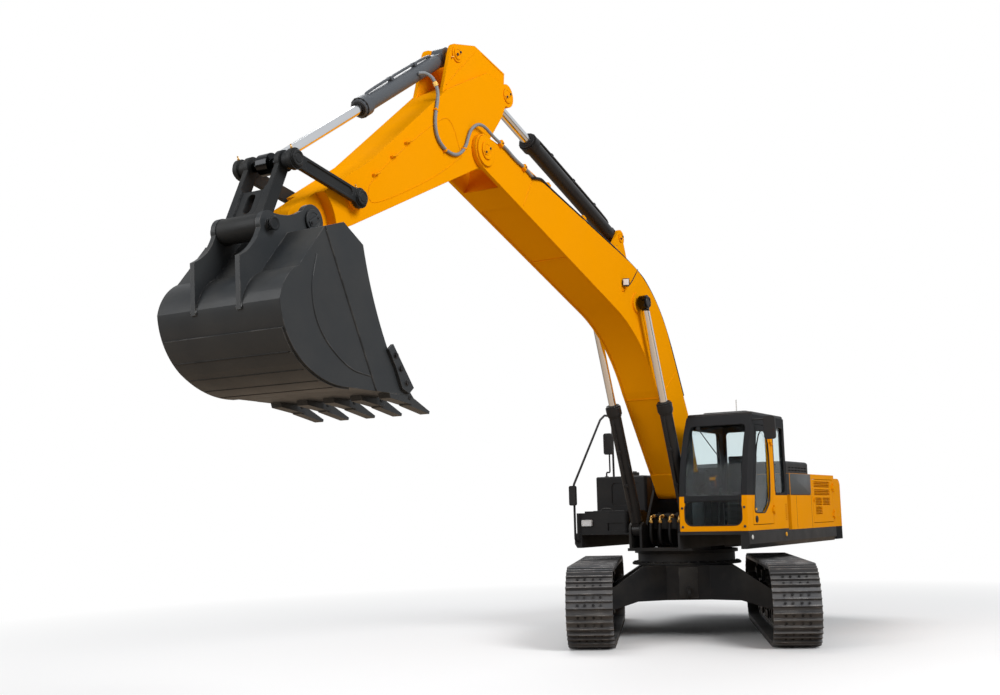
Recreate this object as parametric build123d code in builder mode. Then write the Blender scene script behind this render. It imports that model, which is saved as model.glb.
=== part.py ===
"""Crawler excavator of the 36 t class, modelled in millimetres.

The frame stands on the ground at the slew axis: +X runs forward along the boom, +Y to the
machine's left, where the cab is, and +Z up. The undercarriage is turned against the upper
structure, as the machine stands parked.
"""
import math
import os

from build123d import *

os.makedirs("parts", exist_ok=True)

# Clearances
running_fit = 0.1
seat_gap = 0.3
side_play = 5.0
door_gap = 8.0

# Door hinges
hinge_pin = 8.0
hinge_outer = 13.0
hinge_stand = 14.0
hinge_length = 60.0
hinge_end = 20.0
hinge_leaf = 60.0

# Tracks
track_turn = 23.6
gauge = 2590.0
shoe_width = 600.0
shoe_pitch = 216.0
shoe_count = 48
wheelbase = 3920.0
link_outer = 70.0
link_inner = 45.0
link_rail_inside = 62.0
link_rail_outside = 125.0
shoe_plate = 15.0
grouser_height = 38.0
grouser_top = 14.0
grouser_base = 26.0
shoe_gap = 6.0
shoe_root = 20.0

# Running gear
roller_radius = 92.0
roller_flange = 24.0
roller_count = 8
roller_span = 2760.0
carrier_radius = 72.0
carrier_span = 1500.0
sprocket_half = 38.0
sprocket_teeth = 12
final_drive_radius = 262.0
idler_hub_radius = 120.0
axle_radius = 38.0

# Track frame
frame_width = 330.0
frame_top = 690.0
frame_bottom = 378.0
frame_front = 1500.0
frame_rear = -1480.0
frame_plate = 20.0

# Car body and slew ring
body_bottom = 520.0
body_top = 990.0
body_half_length = 800.0
body_plate = 40.0
leg_reach = 1250.0
leg_width = 420.0
ring_outer = 700.0
ring_inner = 560.0
ring_height = 165.0

# Upper structure
deck_bottom = 1237.0
deck_top = 1450.0
half_width = 1490.0
deck_front_left = 1449.0
deck_front_right = 650.0
bed_plate = 40.0
centre_half = 490.0
tower_inside = 285.0
tower_plate = 35.0
lug_plate = 35.0
tail_radius = 3290.0
counterweight_depth = 700.0
deck_rear = counterweight_depth - tail_radius
counterweight_top = 2200.0
counterweight_bottom = 1250.0
housing_top = 2250.0
housing_wall = 40.0
housing_front_left = -350.0
housing_front_right = -960.0
hood_height = 210.0
engine_gap = 160.0
engine_length = 760.0
engine_half = 560.0
engine_top = 2190.0
louvre_count = 6
louvre_length = 110.0
louvre_height = 18.0
intake_louvre_span = 750.0
intake_rear = -1400.0
intake_top = 2430.0

# Boom
foot_x = 214.0
foot_z = 2115.0
boom_chord = 6646.0
boom_lift = 32.42
boom_width = 540.0
boom_plate = 26.0
boom_lip = 12.0
boom_lip_width = 26.0
boom_boss = 190.0
boom_crown = (3300.0, 1420.0)
boom_brow = (6250.0, 398.0)
foot_pin_radius = 60.0
arm_pin_radius = 55.0
fork_depth = 470.0
fork_half = 226.0

# Boom cylinders
lift_y = 385.0
lift_base_x = 800.0
lift_base_z = 1495.0
lift_eye_along = 2814.0
lift_eye_above = 1073.0

# Arm
arm_length = 3193.0
arm_dip = -25.28
arm_width = 440.0
arm_plate = 16.0
head_inside = 150.0
head_plate = 40.0
head_boss = 112.0
curl_pin = 42.0
arm_tip_half = 116.0
rocker_pin_along = 2485.0
rocker_pin_above = 36.0

# Arm cylinder
crowd_base_along = 3377.0
crowd_base_above = 1787.0
crowd_eye_along = -888.0
crowd_eye_above = 480.0

# Cylinder ends
gland_length = 130.0
gland_nose = 26.0
gland_flange = 22.0

# Bucket and its linkage
bucket_width = 1370.0
bucket_plate = 22.0
bucket_heel = 866.0
bucket_floor = -1490.0
lip_front = -780.0
lip_thick = 45.0
side_bar = 10.0
wear_plate = 14.0
wear_count = 5
wear_gap = 2.5
ear_inside = 225.0
ear_plate = 50.0
ear_boss = 145.0
link_boss = 118.0
link_pin = 50.0
pin_collar = 72.0
tooth_count = 5
tooth_span = 1245.0
tooth_reach = -1175.0
tooth_drop = -1622.0
adapter_half = 62.0
tooth_half = 50.0
cutter_plate = 30.0
curl_base_along = -52.0
curl_base_above = 1068.0
curl_eye_along = 3224.0
curl_eye_above = 553.0
link_pin_reach = 561.0
link_pin_angle = -14.1
rocker_inside = 282.0
rocker_plate = 42.0
rocker_eye = 95.0
rocker_waist = 130.0
rocker_pocket = 12.0
rocker_cap = 14.0
rocker_pin = 48.0
link_leg_inside = 152.0
link_leg_plate = 52.0
link_waist = 120.0
link_web = 90.0
link_slot = 90.0
link_crotch = 60.0

# Cab
cab_rear = -240.0
cab_front = 1449.0
cab_right = 530.0
cab_left = 1477.0
cab_top = 3016.0
cab_wall = 50.0
glass = 8.0
pane_corner = 60.0
glass_inset = 20.0
roof_height = 45.0
roof_round = 30.0
hatch_length = 760.0
hatch_width = 640.0
hatch_height = 28.0
door_frame = 70.0
door_sill = 1700.0

# Places worked out from the sizes above
engine_rear = deck_rear + engine_gap
pitch_radius = (shoe_count * shoe_pitch - 2 * wheelbase) / (2 * math.pi)
tip_radius = pitch_radius + link_outer + shoe_plate + grouser_height
axle_z = tip_radius
chassis = Plane(
    origin=(0, 0, 0),
    x_dir=(math.cos(math.radians(track_turn)), math.sin(math.radians(track_turn)), 0),
    z_dir=(0, 0, 1),
)


def chassis_side(y, z=0.0):
    """Upright plane along the tracks, y to the left of the middle and z above the ground."""
    spot = chassis.from_local_coords(Vector(0, y, z))
    return Plane(origin=spot, x_dir=chassis.x_dir, z_dir=-chassis.y_dir)


def upright(x, z, angle):
    """Upright plane in the boom's middle, its own X turned up by an angle in degrees."""
    turn = math.radians(angle)
    return Plane(origin=(x, 0, z), x_dir=(math.cos(turn), 0, math.sin(turn)), z_dir=(0, -1, 0))


def shifted(plane, y):
    """The same upright plane, moved y to the left."""
    return plane.offset(-y)


def place(plane, along, above):
    """Point of an upright plane, as x and z."""
    spot = plane.from_local_coords(Vector(along, above, 0))
    return spot.X, spot.Z


boom_side = upright(foot_x, foot_z, boom_lift)
arm_x, arm_z = place(boom_side, boom_chord, 0)
arm_side = upright(arm_x, arm_z, arm_dip)
bucket_x, bucket_z = place(arm_side, arm_length, 0)
bucket_side = upright(bucket_x, bucket_z, 0)
link_x = link_pin_reach * math.cos(math.radians(link_pin_angle))
link_z = link_pin_reach * math.sin(math.radians(link_pin_angle))


def finish(part, name):
    """Label one sub-part and write it."""
    part.label = name
    export_step(part, f"parts/{name}.step")


def slab(x_low, x_high, y_low, y_high, z_low, z_high, mode=Mode.ADD):
    """Plain slab between its corners, in the part being built."""
    with Locations(((x_low + x_high) / 2, (y_low + y_high) / 2, (z_low + z_high) / 2)):
        Box(x_high - x_low, y_high - y_low, z_high - z_low, mode=mode)


def side_hinge(x, face, z, out, moving):
    """Upright hinge on an outer face: a knuckle with its leaf on the door, or the pin on the wall."""
    y = face + out * hinge_stand
    low, high = sorted((face, y + out * hinge_pin))
    with Locations((x, y, z)):
        if moving:
            Cylinder(hinge_outer, hinge_length)
            slab(0, hinge_leaf, low - y, high - y, -hinge_length / 2, hinge_length / 2)
            Cylinder(hinge_pin + running_fit, hinge_length, mode=Mode.SUBTRACT)
        else:
            Cylinder(hinge_pin, hinge_length + 3 * hinge_end)
            for turn in (-1, 1):
                middle = turn * (hinge_length / 2 + hinge_end)
                slab(-hinge_leaf, hinge_pin, low - y, high - y, middle - hinge_end / 2, middle + hinge_end / 2)


def top_hinge(x, y, face, toward, moving):
    """Level hinge across a top face, the lid lying towards +1 or -1 along X."""
    z = face + hinge_stand
    with Locations((x, y, z)):
        if moving:
            Cylinder(hinge_outer, hinge_length, rotation=(90, 0, 0))
            low, high = sorted((0, toward * hinge_leaf))
            slab(low, high, -hinge_length / 2, hinge_length / 2, -hinge_stand, hinge_pin)
            Cylinder(hinge_pin + running_fit, hinge_length, rotation=(90, 0, 0), mode=Mode.SUBTRACT)
        else:
            Cylinder(hinge_pin, hinge_length + 3 * hinge_end, rotation=(90, 0, 0))
            low, high = sorted((0, -toward * hinge_leaf))
            for turn in (-1, 1):
                middle = turn * (hinge_length / 2 + hinge_end)
                slab(low, high, middle - hinge_end / 2, middle + hinge_end / 2, -hinge_stand, hinge_pin)


# Tracks: one loop each, its shoes in the outline, its two chain rails inside
def station(run):
    """Place on the pitch line, a run of millimetres round from the rear of the sole."""
    arc = math.pi * pitch_radius
    half = wheelbase / 2
    if run < wheelbase:
        return -half + run, -pitch_radius
    run -= wheelbase
    if run < arc:
        turn = run / pitch_radius
        return half + pitch_radius * math.sin(turn), -pitch_radius * math.cos(turn)
    run -= arc
    if run < wheelbase:
        return half - run, pitch_radius
    turn = math.pi + (run - wheelbase) / pitch_radius
    return -half + pitch_radius * math.sin(turn), -pitch_radius * math.cos(turn)


def link_middle(shoe):
    """Middle and heading of one chain link, between its two pins."""
    first = station(shoe * shoe_pitch)
    second = station((shoe + 1) % shoe_count * shoe_pitch)
    heading = math.atan2(second[1] - first[1], second[0] - first[0])
    return (first[0] + second[0]) / 2, (first[1] + second[1]) / 2, heading


def shoe_outline():
    """One shoe from the side: travel along the pitch line and height outside it."""
    half = (shoe_pitch - shoe_gap) / 2
    plate = link_outer + shoe_plate
    tip = plate + grouser_height
    slope = (grouser_base - grouser_top) / 2
    edge = [(-half, link_outer), (-half + slope, tip), (-half + slope + grouser_top, tip),
            (-half + grouser_base, plate)]
    middle = [(-grouser_base / 2, plate), (-grouser_top / 2, tip), (grouser_top / 2, tip),
              (grouser_base / 2, plate)]
    return edge + middle + [(-u, v) for u, v in reversed(edge)]


def track_outline():
    """Outside of the whole loop, about the middle between its two wheels."""
    points = []
    for shoe in range(shoe_count):
        x, z, heading = link_middle(shoe)
        for travel, height in shoe_outline():
            points.append((
                x + travel * math.cos(heading) + height * math.sin(heading),
                z + travel * math.sin(heading) - height * math.cos(heading),
            ))
    return points


def track_loop(y):
    """One track: shoes and two chain rails."""
    side = chassis_side(y, axle_z)
    rail_middle = (link_rail_inside + link_rail_outside) / 2
    rail_half = (link_rail_outside - link_rail_inside) / 2
    with BuildPart() as loop:
        with BuildSketch(side):
            with BuildLine():
                Polyline(*track_outline(), close=True)
            make_face()
            SlotCenterToCenter(wheelbase, 2 * (pitch_radius + link_outer - shoe_root), mode=Mode.SUBTRACT)
        extrude(amount=shoe_width / 2, both=True)
        for turn in (-1, 1):
            with BuildSketch(shifted(side, turn * rail_middle)):
                SlotCenterToCenter(wheelbase, 2 * (pitch_radius + link_outer - shoe_root / 2))
                SlotCenterToCenter(wheelbase, 2 * (pitch_radius - link_inner), mode=Mode.SUBTRACT)
            extrude(amount=rail_half, both=True)
    return loop.part


def row(count, span):
    """Even places along a span about its middle."""
    return [span * (index / (count - 1) - 0.5) for index in range(count)]


roller_z = axle_z - pitch_radius + link_inner + roller_radius + seat_gap
carrier_z = axle_z + pitch_radius - link_inner - carrier_radius - seat_gap
idler_radius = pitch_radius - link_inner - seat_gap
rail_play = link_rail_inside - side_play


def running_gear(y):
    """Sprocket with its drive at the rear, idler in front, rollers between."""
    side = chassis_side(y)
    out = 1 if y > 0 else -1
    with BuildPart() as gear:
        with BuildSketch(chassis_side(y, axle_z)):
            with Locations((-wheelbase / 2, 0)):
                Circle(pitch_radius - 26)
            with Locations((-wheelbase / 2, 0)):
                with PolarLocations(pitch_radius - 20, sprocket_teeth):
                    Trapezoid(60, 80, 70, rotation=-90)
        extrude(amount=sprocket_half, both=True)
        with BuildSketch(shifted(chassis_side(y, axle_z), out * 120)):
            with Locations((-wheelbase / 2, 0)):
                Circle(final_drive_radius)
        extrude(amount=120, both=True)
        with BuildSketch(shifted(chassis_side(y, axle_z), -out * 150)):
            with Locations((-wheelbase / 2, 0)):
                Circle(final_drive_radius - 40)
        extrude(amount=150, both=True)
        with BuildSketch(chassis_side(y, axle_z)):
            with Locations((wheelbase / 2, 0)):
                Circle(idler_radius)
        extrude(amount=link_rail_outside, both=True)
        with BuildSketch(chassis_side(y, axle_z)):
            with Locations((wheelbase / 2, 0)):
                Circle(idler_radius + roller_flange)
        extrude(amount=rail_play, both=True)
        for turn in (-1, 1):
            with BuildSketch(shifted(chassis_side(y, axle_z), turn * (link_rail_outside - 15))):
                with Locations((wheelbase / 2, 0)):
                    Circle(idler_radius - 50)
                    Circle(idler_hub_radius, mode=Mode.SUBTRACT)
            extrude(amount=20, both=True, mode=Mode.SUBTRACT)
        with BuildSketch(chassis_side(y, axle_z)):
            with Locations((wheelbase / 2, 0)):
                Circle(axle_radius)
        extrude(amount=frame_width / 2 - 5, both=True)
        for x in row(roller_count, roller_span):
            with BuildSketch(side):
                with Locations((x, roller_z)):
                    Circle(roller_radius)
            extrude(amount=link_rail_outside, both=True)
            with BuildSketch(side):
                with Locations((x, roller_z)):
                    Circle(roller_radius + roller_flange)
            extrude(amount=rail_play, both=True)
            with BuildSketch(side):
                with Locations((x, roller_z)):
                    Circle(axle_radius)
            extrude(amount=frame_width / 2 - 5, both=True)
        for x in row(2, carrier_span):
            with BuildSketch(side):
                with Locations((x, carrier_z)):
                    Circle(carrier_radius)
            extrude(amount=link_rail_outside, both=True)
    return gear.part


def track_frame(y):
    """Box beam of one side with idler yoke, roller brackets and carrier posts."""
    side = chassis_side(y)
    half = frame_width / 2
    cheek = 20
    with BuildPart() as beam:
        with BuildSketch(side):
            with BuildLine():
                Polyline(
                    (frame_rear, frame_bottom), (frame_front, frame_bottom), (frame_front, frame_top - 90),
                    (frame_front - 120, frame_top), (frame_rear + 120, frame_top),
                    (frame_rear, frame_top - 90), close=True,
                )
            make_face()
        extrude(amount=half, both=True)
        for turn in (-1, 1):
            with BuildSketch(shifted(side, turn * (half - cheek / 2))):
                with Locations((frame_front + 200, axle_z)):
                    Rectangle(wheelbase / 2 - frame_front + 290, 190)
                for x in row(roller_count, roller_span):
                    with Locations((x, (roller_z + frame_bottom) / 2)):
                        Rectangle(150, frame_bottom - roller_z + 90)
                with Locations((wheelbase / 2, axle_z)):
                    Circle(axle_radius + running_fit, mode=Mode.SUBTRACT)
                for x in row(roller_count, roller_span):
                    with Locations((x, roller_z)):
                        Circle(axle_radius + running_fit, mode=Mode.SUBTRACT)
            extrude(amount=cheek / 2, both=True)
        with BuildSketch(side):
            with Locations(((frame_front + frame_rear) / 2, (frame_top + frame_bottom) / 2)):
                Rectangle(frame_front - frame_rear - 2 * frame_plate - 180, frame_top - frame_bottom - 2 * frame_plate)
        extrude(amount=half - frame_plate, both=True, mode=Mode.SUBTRACT)
        drive = chassis_side(y, axle_z)
        out = 1 if y > 0 else -1
        with BuildSketch(shifted(drive, -out * (half - 25))):
            with Locations((-wheelbase / 2 + 300, 0)):
                Rectangle(600, 250)
            with Locations((-wheelbase / 2, 0)):
                Circle(final_drive_radius + 45)
                Circle(final_drive_radius - 40 + running_fit, mode=Mode.SUBTRACT)
        extrude(amount=25, both=True)
        for x in row(2, carrier_span):
            with BuildSketch(shifted(side, -out * (link_rail_outside + 25))):
                with Locations((x, (frame_top + carrier_z) / 2)):
                    Rectangle(110, carrier_z - frame_top + 60)
            extrude(amount=24.7, both=True)
    return beam.part


for name, y in (("left", gauge / 2), ("right", -gauge / 2)):
    finish(track_loop(y), f"track_{name}")
    finish(running_gear(y), f"running_gear_{name}")
    finish(track_frame(y), f"track_frame_{name}")

# Car body: a centre box with four legs out to the track frames
leg_end = gauge / 2 - frame_width / 2
with BuildPart(chassis) as carbody:
    with BuildSketch(chassis.offset(frame_bottom)):
        Rectangle(2 * body_half_length, 1240)
        for turn_x in (-1, 1):
            for turn_y in (-1, 1):
                with BuildLine():
                    Polyline(
                        (turn_x * 300, turn_y * 400), (turn_x * (leg_reach - leg_width), turn_y * leg_end),
                        (turn_x * leg_reach, turn_y * leg_end), (turn_x * body_half_length, turn_y * 300),
                        close=True,
                    )
                make_face()
    extrude(amount=body_top - frame_bottom)
    across = Plane(origin=chassis.origin, x_dir=chassis.y_dir, z_dir=chassis.x_dir)
    with BuildSketch(across):
        with BuildLine():
            Polyline(
                (-leg_end, frame_top - 40), (-620, body_top), (620, body_top), (leg_end, frame_top - 40),
                (leg_end, frame_bottom + 20), (700, body_bottom), (-700, body_bottom),
                (-leg_end, frame_bottom + 20), close=True,
            )
        make_face()
    extrude(amount=leg_reach + 10, both=True, mode=Mode.INTERSECT)
    with BuildSketch(chassis.offset(body_bottom + body_plate)):
        Rectangle(2 * (body_half_length - body_plate), 1240 - 2 * body_plate)
    extrude(amount=body_top - body_bottom - 2 * body_plate, mode=Mode.SUBTRACT)
finish(carbody.part, "carbody")

# Tow eyes: one lug in front of the car body and one behind it, bored for a shackle pin
tow_bore = 36.0
tow_plate = 40.0
tow_height = 160.0
tow_reach = 90.0
tow_z = body_bottom + 90
with BuildPart() as tow_eyes:
    with BuildSketch(chassis_side(0, tow_z)):
        for turn in (-1, 1):
            root = turn * (body_half_length + tow_reach / 2)
            with Locations((root, 0)):
                Rectangle(tow_reach, tow_height)
            with Locations((turn * (body_half_length + tow_reach), 0)):
                Circle(tow_height / 2)
                Circle(tow_bore, mode=Mode.SUBTRACT)
    extrude(amount=tow_plate / 2, both=True)
finish(tow_eyes.part, "tow_eyes")

with BuildPart() as slew_ring:
    with BuildSketch(Plane.XY.offset(body_top)):
        Circle(ring_outer)
        Circle(ring_inner, mode=Mode.SUBTRACT)
    extrude(amount=ring_height)
finish(slew_ring.part, "slew_ring")

# Main frame: bed plate on the ring, two girders that rise to the boom towers, cylinder lugs
ring_top = body_top + ring_height
bed_bottom = ring_top + 45
bed_top = bed_bottom + bed_plate
girder_top = 1640.0
lug_inside = lift_y + 65
tower_mid = tower_inside + tower_plate / 2
lug_mid = lug_inside + lug_plate / 2
with BuildPart() as main_frame:
    with BuildSketch(Plane.XY.offset(ring_top + seat_gap)):
        Circle(ring_outer + 45)
        Circle(ring_inner, mode=Mode.SUBTRACT)
    extrude(amount=bed_bottom - ring_top - seat_gap)
    with BuildSketch(Plane.XY.offset(bed_bottom)):
        with BuildLine():
            Polyline(
                (deck_rear, -centre_half), (950, -centre_half), (950, centre_half),
                (deck_rear, centre_half), close=True,
            )
        make_face()
        Circle(ring_inner, mode=Mode.SUBTRACT)
    extrude(amount=bed_plate)
    for turn in (-1, 1):
        with BuildSketch(Plane.XZ.offset(-turn * tower_mid)):
            with BuildLine():
                Polyline(
                    (deck_rear, bed_top), (905, bed_top), (905, lift_base_z), (695, lift_base_z + 65),
                    (foot_x + 180, foot_z - 60), (foot_x - 180, foot_z + 60), (-760, girder_top),
                    (engine_rear - 40, girder_top), (deck_rear, girder_top - 140), close=True,
                )
            make_face()
            with Locations((foot_x, foot_z)):
                Circle(boom_boss)
            with Locations((lift_base_x, lift_base_z)):
                Circle(105)
        extrude(amount=tower_plate / 2, both=True)
        with BuildSketch(Plane.XZ.offset(-turn * lug_mid)):
            with BuildLine():
                Polyline((500, bed_top), (905, bed_top), (905, lift_base_z), (695, lift_base_z), close=True)
            make_face()
            with Locations((lift_base_x, lift_base_z)):
                Circle(105)
        extrude(amount=lug_plate / 2, both=True)
        with BuildSketch(Plane.XZ.offset(-turn * lift_y)):
            with Locations((lift_base_x, lift_base_z)):
                Circle(50)
        extrude(amount=lift_y - tower_inside, both=True)
    with BuildSketch(Plane.XZ):
        with Locations((foot_x, foot_z)):
            Circle(foot_pin_radius)
    extrude(amount=tower_inside + tower_plate + 30, both=True)
finish(main_frame.part, "main_frame")


# Side frames: deck plate with an outer skirt of D section and an inner web
def side_frame(turn, front):
    """Deck of one side, open below."""
    inner = centre_half + seat_gap
    with BuildPart() as deck:
        with BuildSketch(Plane.YZ.offset(deck_rear)):
            with BuildLine():
                Polyline(
                    (turn * inner, deck_top), (turn * half_width, deck_top), (turn * half_width, deck_bottom + 60),
                    (turn * (half_width - 40), deck_bottom), (turn * (half_width - 120), deck_bottom),
                    (turn * (half_width - 120), deck_top - 25), (turn * (inner + 25), deck_top - 25),
                    (turn * (inner + 25), deck_bottom), (turn * inner, deck_bottom), close=True,
                )
            make_face()
        extrude(amount=front - deck_rear)
    return deck.part


finish(side_frame(1, deck_front_left), "side_frame_left")
finish(side_frame(-1, deck_front_right), "side_frame_right")

# Counterweight: one casting with a round tail
with BuildPart() as counterweight:
    with BuildSketch(Plane.XY.offset(counterweight_bottom)):
        Circle(tail_radius)
        with Locations(((deck_rear - tail_radius) / 2 - seat_gap, 0)):
            Rectangle(tail_radius + deck_rear, 2 * half_width, mode=Mode.INTERSECT)
    extrude(amount=counterweight_top - counterweight_bottom)
    fillet(counterweight.edges().group_by(Axis.Z)[-1].sort_by(Axis.X)[0], radius=120)
finish(counterweight.part, "counterweight")

# Lifting eyes of the counterweight
lift_bore = 30.0
lift_plate = 40.0
lift_half_height = 62.0
lift_place = 700.0
lift_x = deck_rear - counterweight_depth / 2
with BuildPart() as lifting_eyes:
    for y in (-lift_place, lift_place):
        with BuildSketch(Plane.XZ.offset(-y)):
            with Locations((lift_x, counterweight_top + lift_half_height / 2)):
                Rectangle(2 * lift_half_height, lift_half_height)
            with Locations((lift_x, counterweight_top + lift_half_height)):
                Circle(lift_half_height)
                Circle(lift_bore, mode=Mode.SUBTRACT)
        extrude(amount=lift_plate / 2, both=True)
finish(lifting_eyes.part, "lifting_eyes")

with BuildPart() as engine_block:
    slab(engine_rear, engine_rear + engine_length, -engine_half, engine_half, girder_top, engine_top)
finish(engine_block.part, "engine_block")

# Machine housing: walls round the engine and pumps, open for the hood and the side doors
door_low = deck_top + 70
door_high = housing_top - 70
radiator_door_front = -1430.0
door_edge = 90.0
radiator_door_rear = deck_rear + door_edge
pump_door_front = -1100.0
pump_door_edge = 240.0
pump_door_rear = deck_rear + pump_door_edge
hood_front = -1080.0
hood_rear = deck_rear + door_edge
hood_gap = 18.0
hood_wall = 70.0
hood_half = 600.0
with BuildPart() as housing:
    with BuildSketch(Plane.XY.offset(deck_top)):
        with BuildLine():
            Polyline(
                (deck_rear, -half_width), (housing_front_right, -half_width),
                (housing_front_right, -centre_half - 130), (housing_front_left, -centre_half - 130),
                (housing_front_left, half_width), (deck_rear, half_width), close=True,
            )
        make_face()
    extrude(amount=housing_top - deck_top)
    with BuildSketch(Plane.XY.offset(deck_top)):
        with BuildLine():
            Polyline(
                (deck_rear - 1, -half_width + housing_wall),
                (housing_front_right - housing_wall, -half_width + housing_wall),
                (housing_front_right - housing_wall, -centre_half - 130 + housing_wall),
                (housing_front_left - housing_wall, -centre_half - 130 + housing_wall),
                (housing_front_left - housing_wall, half_width - housing_wall),
                (deck_rear - 1, half_width - housing_wall), close=True,
            )
        make_face()
    extrude(amount=housing_top - deck_top - housing_wall, mode=Mode.SUBTRACT)
    with Locations(((hood_front + hood_rear) / 2, 0, housing_top)):
        Box(hood_front - hood_rear, 2 * hood_half, 3 * housing_wall, mode=Mode.SUBTRACT)
    with Locations(((radiator_door_front + radiator_door_rear) / 2, half_width, (door_low + door_high) / 2)):
        Box(radiator_door_front - radiator_door_rear, 3 * housing_wall, door_high - door_low, mode=Mode.SUBTRACT)
    with Locations(((pump_door_front + pump_door_rear) / 2, -half_width, (door_low + door_high) / 2)):
        Box(pump_door_front - pump_door_rear, 3 * housing_wall, door_high - door_low, mode=Mode.SUBTRACT)
    with Locations(((housing_front_left + foot_x) / 2 - 300, 0, housing_top - 300)):
        Box(1400, 2 * (tower_inside + tower_plate + 40), 1000, mode=Mode.SUBTRACT)
    for z in (door_low + 120, door_high - 120):
        side_hinge(radiator_door_rear, half_width, z, 1, False)
        side_hinge(pump_door_rear, -half_width, z, -1, False)
    for y in (-hood_half + 160, hood_half - 160):
        top_hinge(hood_front, y, housing_top, -1, False)
finish(housing.part, "housing")

with BuildPart() as air_intake:
    slab(intake_rear, housing_front_left - 20, hood_half + 40, half_width - 50, housing_top, intake_top)
    fillet(air_intake.edges().group_by(Axis.Z)[-1], radius=40)
    slab(intake_rear + 12, housing_front_left - 32, hood_half + 52, half_width - 62, housing_top, intake_top - 12,
         Mode.SUBTRACT)
    for step in row(louvre_count, intake_louvre_span):
        with Locations(((intake_rear + housing_front_left) / 2 - 10 + step, half_width - 50, housing_top + 85)):
            Box(louvre_length, 60, louvre_height, mode=Mode.SUBTRACT)
        with Locations(((intake_rear + housing_front_left) / 2 - 10 + step, half_width - 50, housing_top + 45)):
            Box(louvre_length, 60, louvre_height, mode=Mode.SUBTRACT)
finish(air_intake.part, "air_intake")


# Radiator door: two long grilles, a pair below them and a single one at the bottom
slot_height = 13.0
slot_pitch = 24.0
grille_front = radiator_door_front - 80.0
grille_rear = radiator_door_rear + 160.0
grille_middle = (grille_front + grille_rear) / 2
grilles = (
    (grille_rear, grille_front, 2065.0, 4),
    (grille_rear, grille_front, 1945.0, 4),
    (grille_rear, grille_middle - 20, 1795.0, 5),
    (grille_middle + 20, grille_front - 50, 1795.0, 5),
    (grille_middle + 20, grille_front - 50, 1660.0, 5),
)
with BuildPart() as radiator_door:
    slab(radiator_door_rear + door_gap, radiator_door_front - door_gap, half_width - housing_wall, half_width,
         door_low + door_gap, door_high - door_gap)
    for low, high, bottom, count in grilles:
        for step in range(count):
            with Locations(((low + high) / 2, half_width - housing_wall / 2, bottom + step * slot_pitch)):
                Box(high - low, 2 * housing_wall, slot_height, mode=Mode.SUBTRACT)
    for z in (door_low + 120, door_high - 120):
        side_hinge(radiator_door_rear, half_width, z, 1, True)
finish(radiator_door.part, "radiator_door")

with BuildPart() as pump_door:
    slab(pump_door_rear + door_gap, pump_door_front - door_gap, -half_width, -half_width + housing_wall,
         door_low + door_gap, door_high - door_gap)
    for z in (door_low + 120, door_high - 120):
        side_hinge(pump_door_rear, -half_width, z, -1, True)
finish(pump_door.part, "pump_door")

with BuildPart() as engine_hood:
    slab(hood_rear + door_gap, hood_front - hood_gap, -hood_half + door_gap, hood_half - door_gap,
         housing_top - housing_wall, housing_top + hood_height)
    chamfer(engine_hood.edges().group_by(Axis.Z)[-1], length=60)
    slab(hood_rear + hood_wall, hood_front - hood_wall, -hood_half + hood_wall, hood_half - hood_wall,
         housing_top - 2 * housing_wall, housing_top + hood_height - hood_wall, Mode.SUBTRACT)
    for y in (-hood_half + 160, hood_half - 160):
        slab(hood_front - hinge_leaf, hood_front, y - hinge_length / 2, y + hinge_length / 2,
             housing_top, housing_top + hinge_stand + hinge_pin)
        top_hinge(hood_front, y, housing_top, -1, True)
finish(engine_hood.part, "engine_hood")

# Right side: fuel tank, then the lower tool box with its lid
tank_rear = housing_front_right + seat_gap
tank_front = -60.0
tank_top = 2290.0
tank_wall = 30.0
tank_recess = 16.0
tank_round = 24.0
right_inside = -625.0
right_outside = -half_width + 15.0
with BuildPart() as fuel_tank:
    slab(tank_rear, tank_front, right_outside, right_inside, deck_top, tank_top)
    fillet(fuel_tank.edges().filter_by(Axis.Z), radius=50)
    fillet(fuel_tank.edges().group_by(Axis.Z)[-1], radius=tank_round)
    with BuildSketch(Plane.YZ.offset(tank_front - tank_recess)):
        with Locations(((right_inside + right_outside) / 2 + 90, tank_top - 270)):
            RectangleRounded(480, 340, pane_corner)
    extrude(amount=2 * tank_recess, mode=Mode.SUBTRACT)
    slab(tank_rear + tank_wall, tank_front - tank_wall, right_outside + tank_wall, right_inside - tank_wall,
         deck_top + tank_wall, tank_top - tank_wall, Mode.SUBTRACT)
finish(fuel_tank.part, "fuel_tank")

box_rear = tank_front + seat_gap
box_front = 640.0
box_top = 1745.0
lid_thick = 25.0
box_wall = 40.0
box_step = 22.0
lid_outside = -half_width + 150
with BuildPart() as tool_box:
    slab(box_rear, box_front, right_outside, right_inside, deck_top, box_top)
    fillet(tool_box.edges().filter_by(Axis.Z).sort_by(Axis.X)[-2:], radius=60)
    slab(box_rear + 60, box_front - 60, lid_outside + 30, right_inside - 30, deck_top + box_wall, box_top + 1,
         Mode.SUBTRACT)
    slab(box_rear + box_wall, box_front - box_wall, right_outside + box_wall, right_inside - box_wall,
         deck_top + box_wall, box_top - box_wall, Mode.SUBTRACT)
    for y in (lid_outside + 140, right_inside - 140):
        top_hinge(box_rear + hinge_leaf + 2, y, box_top, 1, False)
    with Locations((box_front, right_inside - 190, deck_top + 90)):
        Box(2 * box_step, 260, 110, mode=Mode.SUBTRACT)
finish(tool_box.part, "tool_box")

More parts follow.
